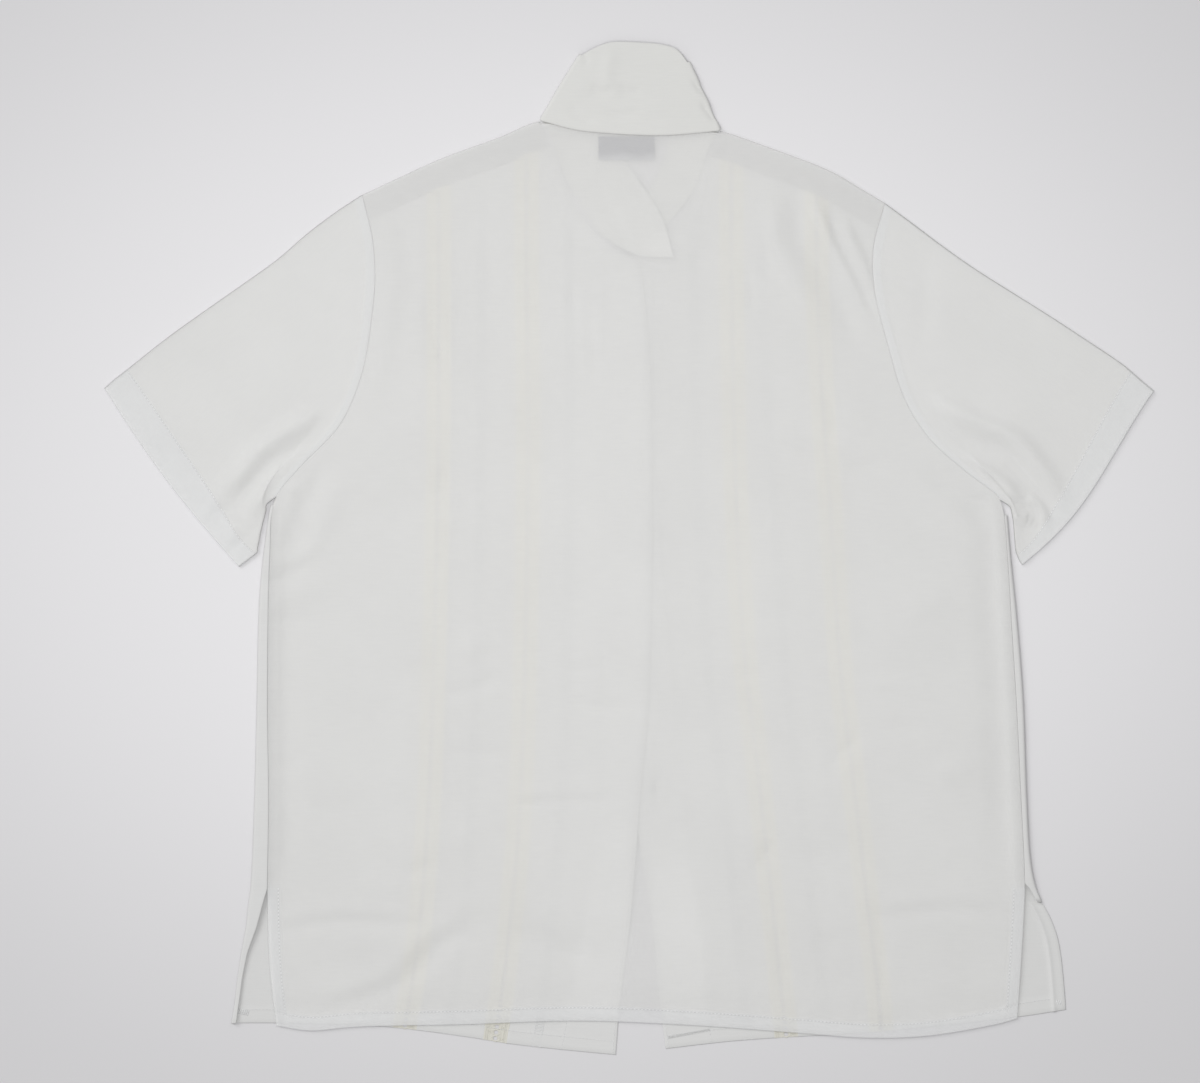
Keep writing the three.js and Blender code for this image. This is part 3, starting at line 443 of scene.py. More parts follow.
# Cloth finishes
plainWeave = {"alpha": 1.0, "thread": 0.00042, "weave": 0.25, "sheen": 0.2}
# each finish's bare shade darkens it where it lies in the open: painted shade
finishes = {
    "sheerCloth": {**plainWeave, "single": (0.950, 0.948, 0.940), "doubled": (0.95, 0.955, 0.958),
                   "alpha": 0.42, "bareShade": 1.0},
    "frontCloth": {**plainWeave, "single": (0.795, 0.795, 0.788), "doubled": (0.90, 0.90, 0.892),
                   "bareShade": 0.90},
    "collarCloth": {**plainWeave, "single": (0.79, 0.79, 0.77), "doubled": (0.90, 0.90, 0.88),
                    "bareShade": 0.93},
    "laceThread": {"single": (0.885, 0.868, 0.785), "doubled": (0.95, 0.93, 0.86), "alpha": 1.0,
                   "thread": 0.0006, "weave": 0.3, "sheen": 0.1, "bareShade": 0.80},
    "labelTape": {"single": (0.004, 0.006, 0.09), "doubled": (0.42, 0.43, 0.48), "alpha": 1.0,
                  "thread": 0.0005, "weave": 0.5, "sheen": 0.1, "bareShade": 1.0},
    "sewingThread": {"single": (0.83, 0.835, 0.835), "doubled": (0.9, 0.9, 0.89), "alpha": 1.0,
                     "thread": 0.0003, "weave": 0.4, "sheen": 0.2, "bareShade": 0.86},
}


def newFinish(name, values):
    made = bpy.data.materials.new(name)
    made.use_nodes = True
    shader = made.node_tree.nodes["Principled BSDF"]
    for socket, value in values.items():
        shader.inputs[socket].default_value = value
    return made, made.node_tree, shader


def addNode(tree, kind, values=None, sources=None, **settings):
    # one shader node: its own settings first, then its sockets' values, then what feeds them
    made = tree.nodes.new("ShaderNode" + kind)
    for setting, value in settings.items():
        setattr(made, setting, value)
    for socket, value in (values or {}).items():
        made.inputs[socket].default_value = value
    for socket, source in (sources or {}).items():
        tree.links.new(source, made.inputs[socket])
    return made


def clothFinish(name):
    # plain weave: two crossed sets of bands one thread apart, read from the flat cloth, with slubs and a
    # faint cloudiness over the shirt; where the cloth is doubled it looks whiter
    look = finishes[name]
    made, tree, shader = newFinish(name, {"Roughness": 0.85, "Sheen Weight": look["sheen"],
                                          "Sheen Roughness": 0.5, "Alpha": look["alpha"]})
    flat = addNode(tree, "UVMap", uv_map="flat").outputs["UV"]
    band = {"Scale": math.pi / (10 * look["thread"]), "Distortion": 0.6, "Detail": 1.0}
    bands = [addNode(tree, "TexWave", band, {"Vector": flat}, bands_direction=axis) for axis in ("X", "Y")]
    crossed = addNode(tree, "Math", None, {k: bands[k].outputs["Fac"] for k in (0, 1)},
                      operation="MULTIPLY").outputs[0]
    stretched = addNode(tree, "Mapping", {"Scale": (60, 900, 1)}, {"Vector": flat})
    slubs = addNode(tree, "TexNoise", {"Scale": 1.0}, {"Vector": stretched.outputs["Vector"]})
    place = addNode(tree, "TexCoord")
    clouds = addNode(tree, "TexNoise", {"Scale": 14, "Detail": 3}, {"Vector": place.outputs["Object"]})
    # the doubled attribute is above 0 where cloth is doubled, and below 0 where it lies in the open and takes
    # painted shade
    doubled = addNode(tree, "Attribute", attribute_name="doubled").outputs["Fac"]
    base = addNode(tree, "Mix", {"A": (*look["single"], 1), "B": (*look["doubled"], 1)},
                   {"Factor": doubled}, data_type="RGBA")
    # painted shade: cloth that lies in the open over the table, out from under the back, is darkened for the
    # dimmer light it gets there
    bareShade = addNode(tree, "MapRange", {"From Min": -1, "From Max": 0, "To Min": look["bareShade"], "To Max": 1},
                   {"Value": doubled})
    colour = addNode(tree, "VectorMath", None, {0: base.outputs["Result"], "Scale": bareShade.outputs["Result"]},
                     operation="SCALE").outputs["Vector"]
    # three faint shades one after another, each darkening by its own share
    shades = [(slubs.outputs["Fac"], 0.035), (clouds.outputs["Fac"], 0.03), (crossed, 0.05)]
    for source, share in shades:
        tone = addNode(tree, "MapRange", {"To Min": 1 - share, "To Max": 1 + share * 0.5}, {"Value": source})
        colour = addNode(tree, "VectorMath", None, {0: colour, "Scale": tone.outputs["Result"]},
                         operation="SCALE").outputs["Vector"]
    tree.links.new(colour, shader.inputs["Base Color"])
    raised = addNode(tree, "Bump", {"Strength": look["weave"], "Distance": 0.0001}, {"Height": crossed})
    tree.links.new(raised.outputs["Normal"], shader.inputs["Normal"])
    return made


finish = {name: clothFinish(name) for name in finishes}
print("finishes made")

# Back
back = {"across": 607, "height": 679, "pitchAcross": 3.1, "pitchAlong": 3.7, "hem": 12, "slitHem": 10,
        "slitTop": -276, "neckLeft": -72, "neckRight": 74, "shoulder": 20, "shoulderZ": 0.3, "limp": 0.22,
        "stitchIn": 1.2, "groove": 0.16, "pucker": 0.14}
shoulderOut = {"left": {"armhole": (-0.25, 0.94), "neck": (-0.39, 0.92)},
               "right": {"armhole": (0.27, 0.95), "neck": (0.43, 0.9)}}


def backPlace(u, v):
    # opposite edges are blended and the corners' own share is taken off once
    edges = {}
    for name, along, key in (("backLeft", v, 1), ("backRight", v, 1), ("backHem", u, 0), ("backTop", u, 0)):
        line = curves[name]
        value = blendTo(line[0, key], line[-1, key], along)
        edges[name] = (readCurve(name, 1, value), value) if key else (value, readCurve(name, 0, value))
    corner = [curves["backHem"][0], curves["backHem"][-1], curves["backTop"][0], curves["backTop"][-1]]
    place = []
    for k in (0, 1):
        across = blendTo(edges["backLeft"][k], edges["backRight"][k], u)
        along = blendTo(edges["backHem"][k], edges["backTop"][k], v)
        low = blendTo(corner[0][k], corner[1][k], u)
        high = blendTo(corner[2][k], corner[3][k], u)
        place.append(across + along - blendTo(low, high, v))
    return place


def backMiddle(x, y):
    # the cloth's middle surface, with the hem's and slits' stitch grooves and small puckers
    fromHem = y - readCurve("backHem", 0, x)
    fromSide = np.minimum(x - readCurve("backLeft", 1, y), readCurve("backRight", 1, y) - x)
    slit = 1 - fade(y, back["slitTop"] - 4, back["slitTop"] + 2)
    doubled = np.maximum(1 - fade(fromHem, back["hem"] - 0.5, back["hem"] + 0.5),
                         slit * (1 - fade(fromSide, back["slitHem"] - 0.5, back["slitHem"] + 0.5)))
    grooves = bump(fromHem, back["hem"] - back["stitchIn"], 0.9) + slit * bump(
        fromSide, back["slitHem"] - back["stitchIn"], 0.9)
    puckers = np.sin(x / 2.1 + 2 * np.sin(x / 17)) * bump(fromHem, back["hem"], 9)
    free = fade(fromHem, 4, 40) * (1 - fade(y, 318, 336))
    z = backLow(x, y) + cloth["middle"] + 0.1 * doubled - back["groove"] * grooves
    z = z + back["pucker"] * puckers + limpness(x, y, back["limp"]) * free
    return z, doubled


def backTop(x, y):
    z, doubled = backMiddle(x, y)
    return z + blendTo(cloth["wall"], cloth["hemWall"], doubled) / 2


def makeBack():
    w, h = back["across"], back["height"]
    left, right = outlines["backTop"][0][0], outlines["backTop"][-1][0]
    neck = [(back[end] - left) / (right - left) * w for end in ("neckLeft", "neckRight")]
    u = steps(w, back["pitchAcross"], [8, 8.8, 9.6, 10.4, w - 10.4, w - 9.6, w - 8.8, w - 8, *neck]) / w
    v = steps(h, back["pitchAlong"], hemRows) / h
    uu, vv = np.meshgrid(u, v)
    x, y = backPlace(uu, vv)
    z, doubled = backMiddle(x, y)
    wall = blendTo(cloth["wall"], cloth["hemWall"], doubled)
    panel = stamp(x, y, z, wall, x, y, doubled)
    patches, seams = [panel], {}
    for side, columns in (("left", slice(0, int(np.argmin(np.abs(u * w - neck[0]))) + 1)),
                          ("right", slice(int(np.argmin(np.abs(u * w - neck[1]))), None))):
        start = panel[-1, columns]
        share = np.abs(start[:, 0] - start[0 if side == "left" else -1, 0])
        share = share / share.max()
        out = [blendTo(shoulderOut[side]["armhole"][k], shoulderOut[side]["neck"][k], share) for k in (0, 1)]
        turned = turnOver(start, out, back["shoulderZ"], back["shoulder"])
        patches.append(turned)
        seams[side] = turned[-1, :, :2]
    return clothShell("back_panel", patches, finish["sheerCloth"]), seams


backPanel, forwardSeam = makeBack()
print("back made,", len(backPanel.data.polygons), "faces")

# Fronts
front = {"neckY": 236, "hem": 12, "laceHalf": 9, "pitch": 4.2, "tuck": 0.5, "tuckHalf": 0.7,
         "turnedShadeTone": -0.9, "facingTone": 0.12, "facingLow": 0.75, "slitLift": 0.9}
frontRows = {
    "inner": [-372, -345, -316, -290, -274, -246, -214, -180, -146, -112, -78, -44, -12, 18, 38,
              48, 76, 106, 140, 172, 206, 213, 236],
    "outer": [-352, -332, -310, -291, -276.5, -248, -216, -182, -148, -114, -80, -46, -14, 12, 35],
    "armhole": [0.64, 0.665, 0.7, 0.745, 0.79, 0.835, 0.87, 0.9, 0.925, 0.95, 0.971],
    "neck": [0, 0.3, 0.65, 1],
}


class FrontPlan:
    # the rows of one front from hem to shoulder; an inner end runs up the button edge and then the
    # neckline, an outer end up the side fold and then the armhole
    def __init__(self, side):
        self.side, self.sign = side, sides[side]
        self.hem = side + "Hem"
        hem = curves[self.hem]
        outer, inner = (hem[0], hem[-1]) if side == "left" else (hem[-1], hem[0])
        self.hemInner, self.hemOuter = inner, outer
        line = curves["back" + side.capitalize()]
        armhole = [blendTo(line[0, 1], line[-1, 1], share) for share in frontRows["armhole"]]
        innerY = [inner[1], inner[1] + front["hem"], *frontRows["inner"]]
        outerY = [outer[1], outer[1] + front["hem"], *frontRows["outer"], *armhole]
        self.corner = len(innerY) - 1
        self.last = len(outerY) - 1
        self.innerKeys, self.outerKeys = np.array(innerY), np.array(outerY)
        self.fold = outlines[side + "Fold"]
        gaps = np.abs(np.diff(self.outerKeys))
        gaps[:self.corner] = np.maximum(gaps[:self.corner], np.abs(np.diff(self.innerKeys)))
        gaps[self.corner:] = np.maximum(gaps[self.corner:], 28)
        self.length = np.concatenate([[0], np.cumsum(gaps)])
        self.low = leftFrontLow if side == "left" else rightFrontLow

    def rows(self, pitch, lines=()):
        return np.interp(steps(self.length[-1], pitch, lines), self.length, np.arange(self.last + 1))

    def turnedEnd(self, y):
        # where the turned-over cloth ends: at the side seam, and free below the slit's top
        free = freeEdges[self.side]
        order = np.argsort(free["y"])
        heights = np.array(free["y"])[order]
        pick = [np.interp(y, heights, np.array(free[key])[order]) for key in ("edge", "rise")]
        seam = readCurve("back" + self.side.capitalize(), 1, y)
        below = 1 - fade(y, -279, -275)
        seamZ = backLow(seam - self.sign * 1.5, y) + cloth["middle"]
        return blendTo(seam + self.sign * 0.2, pick[0], below), blendTo(seamZ, pick[1] - 0.25, below)

    def outerX(self, y):
        seam = readCurve("back" + self.side.capitalize(), 1, y)
        radius = (self.turnedEnd(y)[1] - cloth["wall"] / 2) / 2
        fold = readCurve(self.side + "Fold", 1, y) - self.sign * (radius + cloth["wall"] / 2)
        x = blendTo(fold, seam, fade(y, self.fold[0][1] - 4, self.fold[0][1] + 8))
        if self.side == "right":
            x = np.where(y < self.fold[-1][1], readCurve("rightSlit", 1, y), x)
        return x

    def ends(self, r):
        share = np.interp(r, np.arange(self.corner, self.last + 1), frontRows["neck"])
        neck = curves[self.side + "Neck"]
        at = share * (len(neck) - 1)
        neckX, neckY = (np.interp(at, np.arange(len(neck)), neck[:, k]) for k in (0, 1))
        innerY = np.interp(r, np.arange(self.corner + 1), self.innerKeys)
        onNeck = r > self.corner
        innerX = np.where(onNeck, neckX, frontLine(self.side, "edge", innerY))
        innerY = np.where(onNeck, neckY, innerY)
        outerY = np.interp(r, np.arange(self.last + 1), self.outerKeys)
        return innerX, innerY, self.outerX(outerY), outerY

    def lines(self, r):
        # the strips' edges on a row: button edge, facing, the two sides of each lace band, outer edge
        innerX, innerY, outerX, _ = self.ends(r)
        y = np.minimum(innerY, front["neckY"])
        half = self.sign * front["laceHalf"]
        inner, outer = frontLine(self.side, "inner", y), frontLine(self.side, "outer", y)
        facing = frontLine(self.side, "facing", y)
        near = self.sign * (facing - innerX) < front["laceHalf"]
        facing = np.where(near, (innerX + inner - half) / 2, facing)
        return [innerX, facing, inner - half, inner + half, outer - half, outer + half, outerX]

    def place(self, r, x):
        # a row runs straight from end to end; the first rows follow the hem, the last the shoulder seam
        innerX, innerY, outerX, outerY = self.ends(r)
        across = np.clip((x - innerX) / (outerX - innerX), 0, 1)
        y = blendTo(innerY, outerY, across)
        chord = blendTo(self.hemInner[1], self.hemOuter[1], across)
        y = y + (readCurve(self.hem, 0, x) - chord) * (1 - np.clip(r - 1, 0, 1))
        seam = forwardSeam[self.side]
        order = np.argsort(seam[:, 0])
        top = np.interp(x, seam[order, 0], seam[order, 1]) - 0.2
        return y + (top - y) * np.clip(r - self.last + 1, 0, 1)


plans = {side: FrontPlan(side) for side in sides}


def frontStrip(side, name, first, last, pitch, lines, turned=False):
    plan = plans[side]
    r = plan.rows(front["pitch"], hemRows)
    edge = plan.lines(r)
    width = float(np.max(np.abs(edge[last] - edge[first])))
    nearEdge = [width - away for away in (13, 11.8, 10.8, 10, 9.2, 8)] if turned else []
    q = steps(width, pitch, [*lines, *nearEdge]) / width
    x = edge[first][:, None] + (edge[last] - edge[first])[:, None] * q[None, :]
    rr = np.broadcast_to(r[:, None], x.shape)
    y = plan.place(rr, x)
    hem = 1 - fade(rr, 0.95, 1.05)
    facing = (1 - fade(plan.sign * (x - edge[1][:, None]), -0.6, 0.6)) if first == 0 else 0 * x
    closer = front["facingTone"] + (front["facingLow"] - front["facingTone"]) * fade(-y, 210, 310)
    doubled = np.maximum(0.5 * hem, closer * facing)
    # the hem of a slit that lies flat, with its stitched edge standing up a little
    fromEdge = plan.sign * (edge[-1][:, None] - x)
    slitHem = (y < plan.fold[-1][1]) * float(side == "right" and turned)
    doubled = np.maximum(doubled, slitHem * (1 - fade(fromEdge, 9.6, 10.6)))
    wall = blendTo(cloth["wall"], cloth["hemWall"], doubled)
    tucks = sum(bump(q[None, :] * width, place, front["tuckHalf"]) for place in lines) if lines else 0
    tucks = tucks * (1 - hem) * front["tuck"] * (1 - facing)
    z = plan.low(x, y) + cloth["gap"] + wall / 2 + tucks
    z = z + front["slitLift"] * slitHem * bump(fromEdge, 9.6, 1.6)
    grid = stamp(x, y, z, wall, x, y, inOpen(x, y, doubled))
    patches = [grid]
    if turned:
        outerY = plan.ends(r)[3]
        keep = (outerY <= plan.fold[0][1] + 1) & (outerY >= plan.fold[-1][1] - 0.5)
        start = grid[keep, -1]
        endX, endZ = plan.turnedEnd(start[:, 1])
        reach = np.maximum(plan.sign * (start[:, 0] - endX), 0.3)
        over = turnOver(start, (plan.sign, 0), endZ, reach)
        over[:, :, 3] = start[None, :, 3]
        # the turned-over strips count as doubled cloth in the open, darkened as painted shade
        over[:, :, 6] = front["turnedShadeTone"]
        patches.append(np.transpose(over, (1, 0, 2)))
    if side == "left":
        patches = [patch[:, ::-1] for patch in patches]
    return clothShell(f"front_{side}_{name}_cloth", patches, finish["frontCloth"])


fronts = {}
for side in sides:
    fronts[side, "centre"] = frontStrip(side, "centre", 0, 2, 2.6, [])
    fronts[side, "middle"] = frontStrip(side, "middle", 3, 4, 2.4, [5, 10, 44, 49])
    fronts[side, "side"] = frontStrip(side, "side", 5, 6, 3.0, [5, 10], turned=True)
print("fronts made")


# Lace
# shape, reach across, length of its wave, phase, width, thickness and height of each thread, in millimetres;
# the outer pair lies on the cloth's edges
lace = {"pitch": 1.25,
        "threads": [("straight", 9.1, 1, 0, 1.9, 0.2, 0.7), ("straight", -9.1, 1, 0, 1.9, 0.2, 0.7),
                    ("straight", 7.4, 1, 0, 1.9, 0.25, 0.42), ("straight", -7.4, 1, 0, 1.9, 0.25, 0.42),
                    ("straight", 5.7, 1, 0, 1.9, 0.25, 0.38), ("straight", -5.7, 1, 0, 1.9, 0.25, 0.38),
                    ("straight", 3.2, 1, 0, 3.2, 0.25, 0.34), ("straight", -3.2, 1, 0, 3.2, 0.25, 0.34),
                    ("sine", 3.6, 10, 0, 1.2, 0.3, 0.52), ("sine", -3.6, 10, 0, 1.2, 0.3, 0.52),
                    ("zigzag", 6.3, 10, 0.25, 0.7, 0.3, 0.58),
                    ("border", 6.6, 2.5, 0, 0.5, 0.25, 0.66), ("border", -6.6, 2.5, 0, 0.5, 0.25, 0.66)]}


def ribbons(name, paths, widths, thicknesses, material):
    # a flattened thread along each path: four corners round its middle line, joined from point to point
    points, faces, uvs, base = [], [], [], 0
    for path, width, thick in zip(paths, widths, thicknesses):
        count = len(path)
        along = np.gradient(path, axis=0)
        along /= np.maximum(np.linalg.norm(along, axis=1, keepdims=True), 1e-9)
        across = np.cross(along, (0, 0, 1.0))
        across /= np.maximum(np.linalg.norm(across, axis=1, keepdims=True), 1e-9)
        up = np.cross(across, along)
        corner = [(0.5, 0), (0, 0.5), (-0.5, 0), (0, -0.5)]
        ring = np.stack([path + across * (a * width) + up * (b * thick) for a, b in corner], 1)
        points.append(ring.reshape(-1, 3))
        index = base + np.arange(count * 4).reshape(count, 4)
        turn = np.roll(index, -1, axis=1)
        side = np.stack([index[:-1], index[1:], turn[1:], turn[:-1]], -1).reshape(-1, 4)
        caps = np.stack([index[0], index[-1][::-1]])
        faces.append(np.concatenate([side, caps]))
        base += count * 4
    faces = np.concatenate(faces)
    points = np.concatenate(points)
    uv = points[faces][:, :, :2]
    # threads that lie in the open are darkened as painted shade
    tone = inOpen(points[:, 0], points[:, 1], 0)
    return addMesh(name, points, faces, uv, tone, material, smooth=False)


def threadOffset(shape, reach, wave, phase, run):
    if shape == "sine":
        return reach * np.sin(2 * math.pi * (run / wave + phase))
    if shape == "zigzag":
        return reach * (1 - 4 * np.abs((run / wave + phase) % 1 - 0.5))
    if shape == "border":
        return reach + 0.9 * np.sin(2 * math.pi * (run / wave + phase))
    return reach + 0 * run


def makeLace(side, name, first):
    plan = plans[side]
    run = np.arange(0, plan.length[-1], lace["pitch"])
    r = np.interp(run, plan.length, np.arange(plan.last + 1))
    edge = plan.lines(r)
    middle = (edge[first] + edge[first + 1]) / 2
    paths = []
    for shape, reach, wave, phase, _, _, height in lace["threads"]:
        x = middle + threadOffset(shape, reach, wave, phase, run)
        y = plan.place(r, x)
        paths.append(np.stack([x, y, plan.low(x, y) + height], -1))
    widths = [thread[4] for thread in lace["threads"]]
    thick = [thread[5] for thread in lace["threads"]]
    return ribbons(f"front_{side}_{name}_openwork", paths, widths, thick, finish["laceThread"])


for side in sides:
    fronts[side, "lace_inner"] = makeLace(side, "lace_inner", 2)
    fronts[side, "lace_outer"] = makeLace(side, "lace_outer", 4)
print("lace made")

# Sleeves
sleeve = {
    "left": {"stations": [(-218, 288, -290, 43.6), (-240, 273.5, -299, 37), (-262, 257, -301, 28),
                          (-287, 235.5, -302.5, 20), (-317, 214, -304, 12), (-347, 193, -305, 6),
                          (-379, 170, -306, 1), (-410, 145.5, -307, -3.5), (-420.5, 137.5, -314, -9),
                          (-429, 130, -320.5, -14)],
             "bow": 4.5, "skew": 1},
    "right": {"stations": [(209, 281, 303, 41), (230, 265.5, 312, 35.5), (254, 247.5, 315.3, 28),
                           (279, 230, 316.3, 20), (309, 211, 316.8, 13), (341, 191, 317.3, 7),
                           (373, 170, 317.8, 2), (404, 149, 318.5, -3), (417.5, 137.5, 320.5, -8),
                           (429, 128, 323, -12.5)],
              "bow": 9, "skew": 1.5},
    "hem": 25, "pitch": 3.2, "cuffClear": 2.3, "foldsFrom": 0.17, "limp": 0.22, "ridge": 0.28,
    "cuffWay": (0.79, -0.61), "underOut": (0.5, -0.87), "swing": 9, "seamBand": 7,
    # rows close together at the hem, from the cuff, and at the armhole; half the girth and all of it
    "hemLines": (25.8, 25, 24.2), "seamLines": (1.2, 7, 8.5), "girth": 250, "allRound": 540,
}


def makeSleeve(side):
    shape, sign = sleeve[side], sides[side]
    line = smoothCurve(shape["stations"])
    length = np.concatenate([[0], np.cumsum(np.linalg.norm(np.diff(line[:, :2], axis=0), axis=1))])
    total = length[-1]
    atHem = [total - line for line in sleeve["hemLines"]]
    run = steps(total, sleeve["pitch"], [*atHem, *sleeve["seamLines"]])
    rows = np.stack([np.interp(run, length, line[:, k]) for k in range(4)], -1)
    station = np.interp(run, length, np.linspace(0, len(shape["stations"]) - 1, len(line)))
    s = (station / (len(shape["stations"]) - 1))[:, None]
    share = steps(sleeve["girth"], sleeve["pitch"])[None, :] / sleeve["girth"]
    top, under = rows[:, None, :2], rows[:, None, 2:]
    place = blendTo(top, under, share[..., None])
    first = rows[0]
    seamY = blendTo(first[1], first[3], share)
    seamX = readCurve("back" + side.capitalize(), 1, seamY)
    bow = shape["bow"] * np.sin(math.pi * share ** shape["skew"]) * s ** 3
    x = place[..., 0] + (seamX - blendTo(first[0], first[2], share)) * (1 - s) ** 2 + sign * 0.1
    x = x + sign * sleeve["cuffWay"][0] * bow
    y = place[..., 1] + sleeve["cuffWay"][1] * bow
    # the rows swing out before the under fold, so that they meet it at an angle
    x = x + sign * sleeve["swing"] * np.sin(math.pi * share ** 6) * np.sin(math.pi * s ** 0.6)
    toCuff = (total - run)[:, None] + 0 * share
    hem = 1 - fade(toCuff, sleeve["hem"] - 0.5, sleeve["hem"] + 0.5)
    wall = blendTo(cloth["wall"], cloth["hemWall"], hem)
    clear = blendTo(cloth["backClear"], sleeve["cuffClear"], s)
    fromSeam = run[:, None] + 0 * share
    folded = clear + foldRelief(f"sleeve_{side}", x, y) * np.minimum(1, s / sleeve["foldsFrom"])
    folded = folded + limpness(x, y, sleeve["limp"]) * (1 - hem)
    seamZ = backLow(seamX, seamY) + 0 * s
    low = blendTo(seamZ, np.maximum(folded, 1.9), fade(station[:, None], 0, 1.6))
    ridge = sleeve["ridge"] * fade(fromSeam, 0, 1.6) * (1 - fade(fromSeam, 7, 9.5))
    ridge = ridge * np.sin(math.pi * share) ** 0.5
    groove = 0.15 * bump(toCuff, sleeve["hem"] - 1.2, 0.9)
    high = low + cloth["middle"] + 0.1 * hem + ridge - groove
    around = sleeve["girth"] * share + 0 * s
    seamBand = 0.8 * (1 - fade(fromSeam, sleeve["seamBand"] - 0.6, sleeve["seamBand"] + 0.6))
    upper = stamp(x, y, high, wall, fromSeam, around, np.maximum(hem, seamBand))
    lower = stamp(x, y, wall / 2 + cloth["gap"], wall, fromSeam, sleeve["allRound"] - around,
                  np.maximum(0.7 * hem, 0.6))[:, ::-1]

    def wayOut(k, atArmhole, settled, away):
        way = np.gradient(rows[:, k:k + 2], axis=0)
        square = np.stack([way[:, 1], -way[:, 0]], -1)
        square *= away / np.linalg.norm(square, axis=1, keepdims=True)
        mix = blendTo(np.array(atArmhole)[None, :], square, np.clip(station / settled, 0, 1)[:, None])
        return (mix / np.linalg.norm(mix, axis=1, keepdims=True)).T

    topOut = wayOut(0, shoulderOut[side]["armhole"], 2, -sign)
    underOut = wayOut(2, (sign * sleeve["underOut"][0], sleeve["underOut"][1]), 2, sign)
    endZ = lower[:, 0, 2]
    topTurn = turnOver(upper[:, 0], topOut, endZ, 0)[:turnRows + 1][::-1].transpose(1, 0, 2)
    underTurn = turnOver(upper[:, -1], underOut, endZ, 0)[:turnRows + 1].transpose(1, 0, 2)
    seen = np.concatenate([topTurn[:, 4:-1], upper, underTurn[:, 1:5]], axis=1)
    below = np.concatenate([underTurn[:, 4:], lower[:, 1:], topTurn[:, 1:5]], axis=1)
    if side == "right":
        seen, below = seen[:, ::-1], below[:, ::-1]
    hemRow = int(np.argmin(np.abs(atHem[-1] - run)))
    stitched = x[hemRow, 1:-1], y[hemRow, 1:-1], (high + wall / 2)[hemRow, 1:-1]
    piece = clothShell(f"sleeve_{side}_cloth", [seen, below], [finish["sheerCloth"], finish["frontCloth"]],
                       picks=[0, 1])
    return piece, stitched


sleeves, sleeveHems = {}, {}
for side in sides:
    sleeves[side], sleeveHems[side] = makeSleeve(side)
print("sleeves made")

# Collar
collar = {
    "wall": 1.2, "steps": 26, "perPart": 12, "roll": 1.0, "neckTop": 339, "seamLift": 0.3,
    "overlap": 2.0, "tuckedIn": 1.2, "endTone": 0.8,
    "left": [(9, 239, 37, 238), (-2, 244, 27, 272), (-13, 250, 10, 299), (-24, 259, 1, 313),
             (-34, 273, -9, 330), (-52, 304, -24, 362), (-62, 333, -35, 392), (-71, 351, -39, 404)],
    "back": [(-71, 351, -39, 404), (-44, 344, -26, 411), (-24, 341.6, -14, 414.6), (9, 339.6, 8, 414.4),
             (34, 339.6, 28, 412.6), (58, 341.6, 40, 408), (73, 343, 48, 398)],
    "right": [(73, 343, 48, 398), (65, 326, 44, 385), (55, 298, 38, 360), (38, 273, 30, 325),
              (19, 253, 20, 300), (0, 241, 8, 282)],
    "out": {"left": (-0.87, 0.49), "right": (0.91, 0.41)},
}


def makeCollar():
    t = steps(72, 72 / collar["steps"], [1.4, 4.5, 7, 8.5, 68])[None, :] / 72
    wall = collar["wall"]

    def part(name):
        line = smoothCurve(collar[name], collar["perPart"])
        x = blendTo(line[:, None, 0], line[:, None, 2], t)
        y = blendTo(line[:, None, 1], line[:, None, 3], t)
        return x, y

    def finishPart(x, y, z):
        # darkened with painted shade beyond the back's top edge, where it lies in the open, and whiter where
        # the left end lies on the right one
        whiter = collar["endTone"] * (1 - fade(y, 246, 270)) * fade(x, 6, 20)
        return stamp(x, y, z, wall, x, y, layersAndShadeTone(whiter, fade(y, 335, 337)))

    x, y = part("left")
    low = collar["overlap"] * fade(x, -22, -8) * (1 - fade(y, 297, 312))
    left = finishPart(x, y, low + cloth["gap"] + wall / 2)
    x, y = part("back")
    y = y - collar["tuckedIn"] * (1 - fade(t, 0, 0.04))
    high = backLow(x, collar["neckTop"] + 0 * x) + collar["roll"] * np.sin(math.pi * t) ** 2
    ridge = collar["seamLift"] * (1 - fade(t, 0.1, 0.15)) + foldRelief("collar", x, y)
    middle = finishPart(x, y, high + 0.2 + wall / 2 + ridge + limpness(x * 3, y * 3, 0.1))
    x, y = part("right")
    right = finishPart(x, y, cloth["gap"] + wall / 2 + 0 * x)
    turns = {}
    for side, section in (("left", middle[0]), ("right", middle[-1])):
        turns[side] = turnOver(section, collar["out"][side], cloth["gap"] + wall / 2, 0)[:turnRows + 1]
    rows = np.concatenate([left[:-1], turns["left"][::-1][:-1], middle[:-1], turns["right"][:-1], right])
    return clothShell("collar_cloth", [rows], finish["collarCloth"], edgeWall=0.35)


collarPiece = makeCollar()
print("collar made")

# Neck label
label = {"left": -25, "right": 21, "top": 337.5, "bottom": 318, "clear": 2.5, "wall": 0.45}


def makeLabel():
    x = label["left"] + steps(label["right"] - label["left"], 1.5, [2, 3])[None, :]
    y = label["bottom"] + steps(label["top"] - label["bottom"], 1.2)[:, None]
    x, y = np.broadcast_arrays(x, y)
    z = label["clear"] + 0.35 + 0.15 * np.sin(x / 9) * (1 - fade(y, 318, 334))
    paler = 1 - fade(y + 1.2 * np.sin(x / 5), label["bottom"] + 1, label["bottom"] + 8)
    return clothShell("neck_label_tape", [stamp(x, y, z, label["wall"], x, y, paler)], finish["labelTape"])


labelPiece = makeLabel()
print("label made")

# Buttons
button = {"radius": 5.7, "wall": 2.0, "hole": 0.9, "ring": 1.9, "topY": 204, "pitch": 80, "count": 7,
          "dish": 0.62, "rimAt": 0.86, "rimHalf": 0.16, "around": 12, "across": 7}


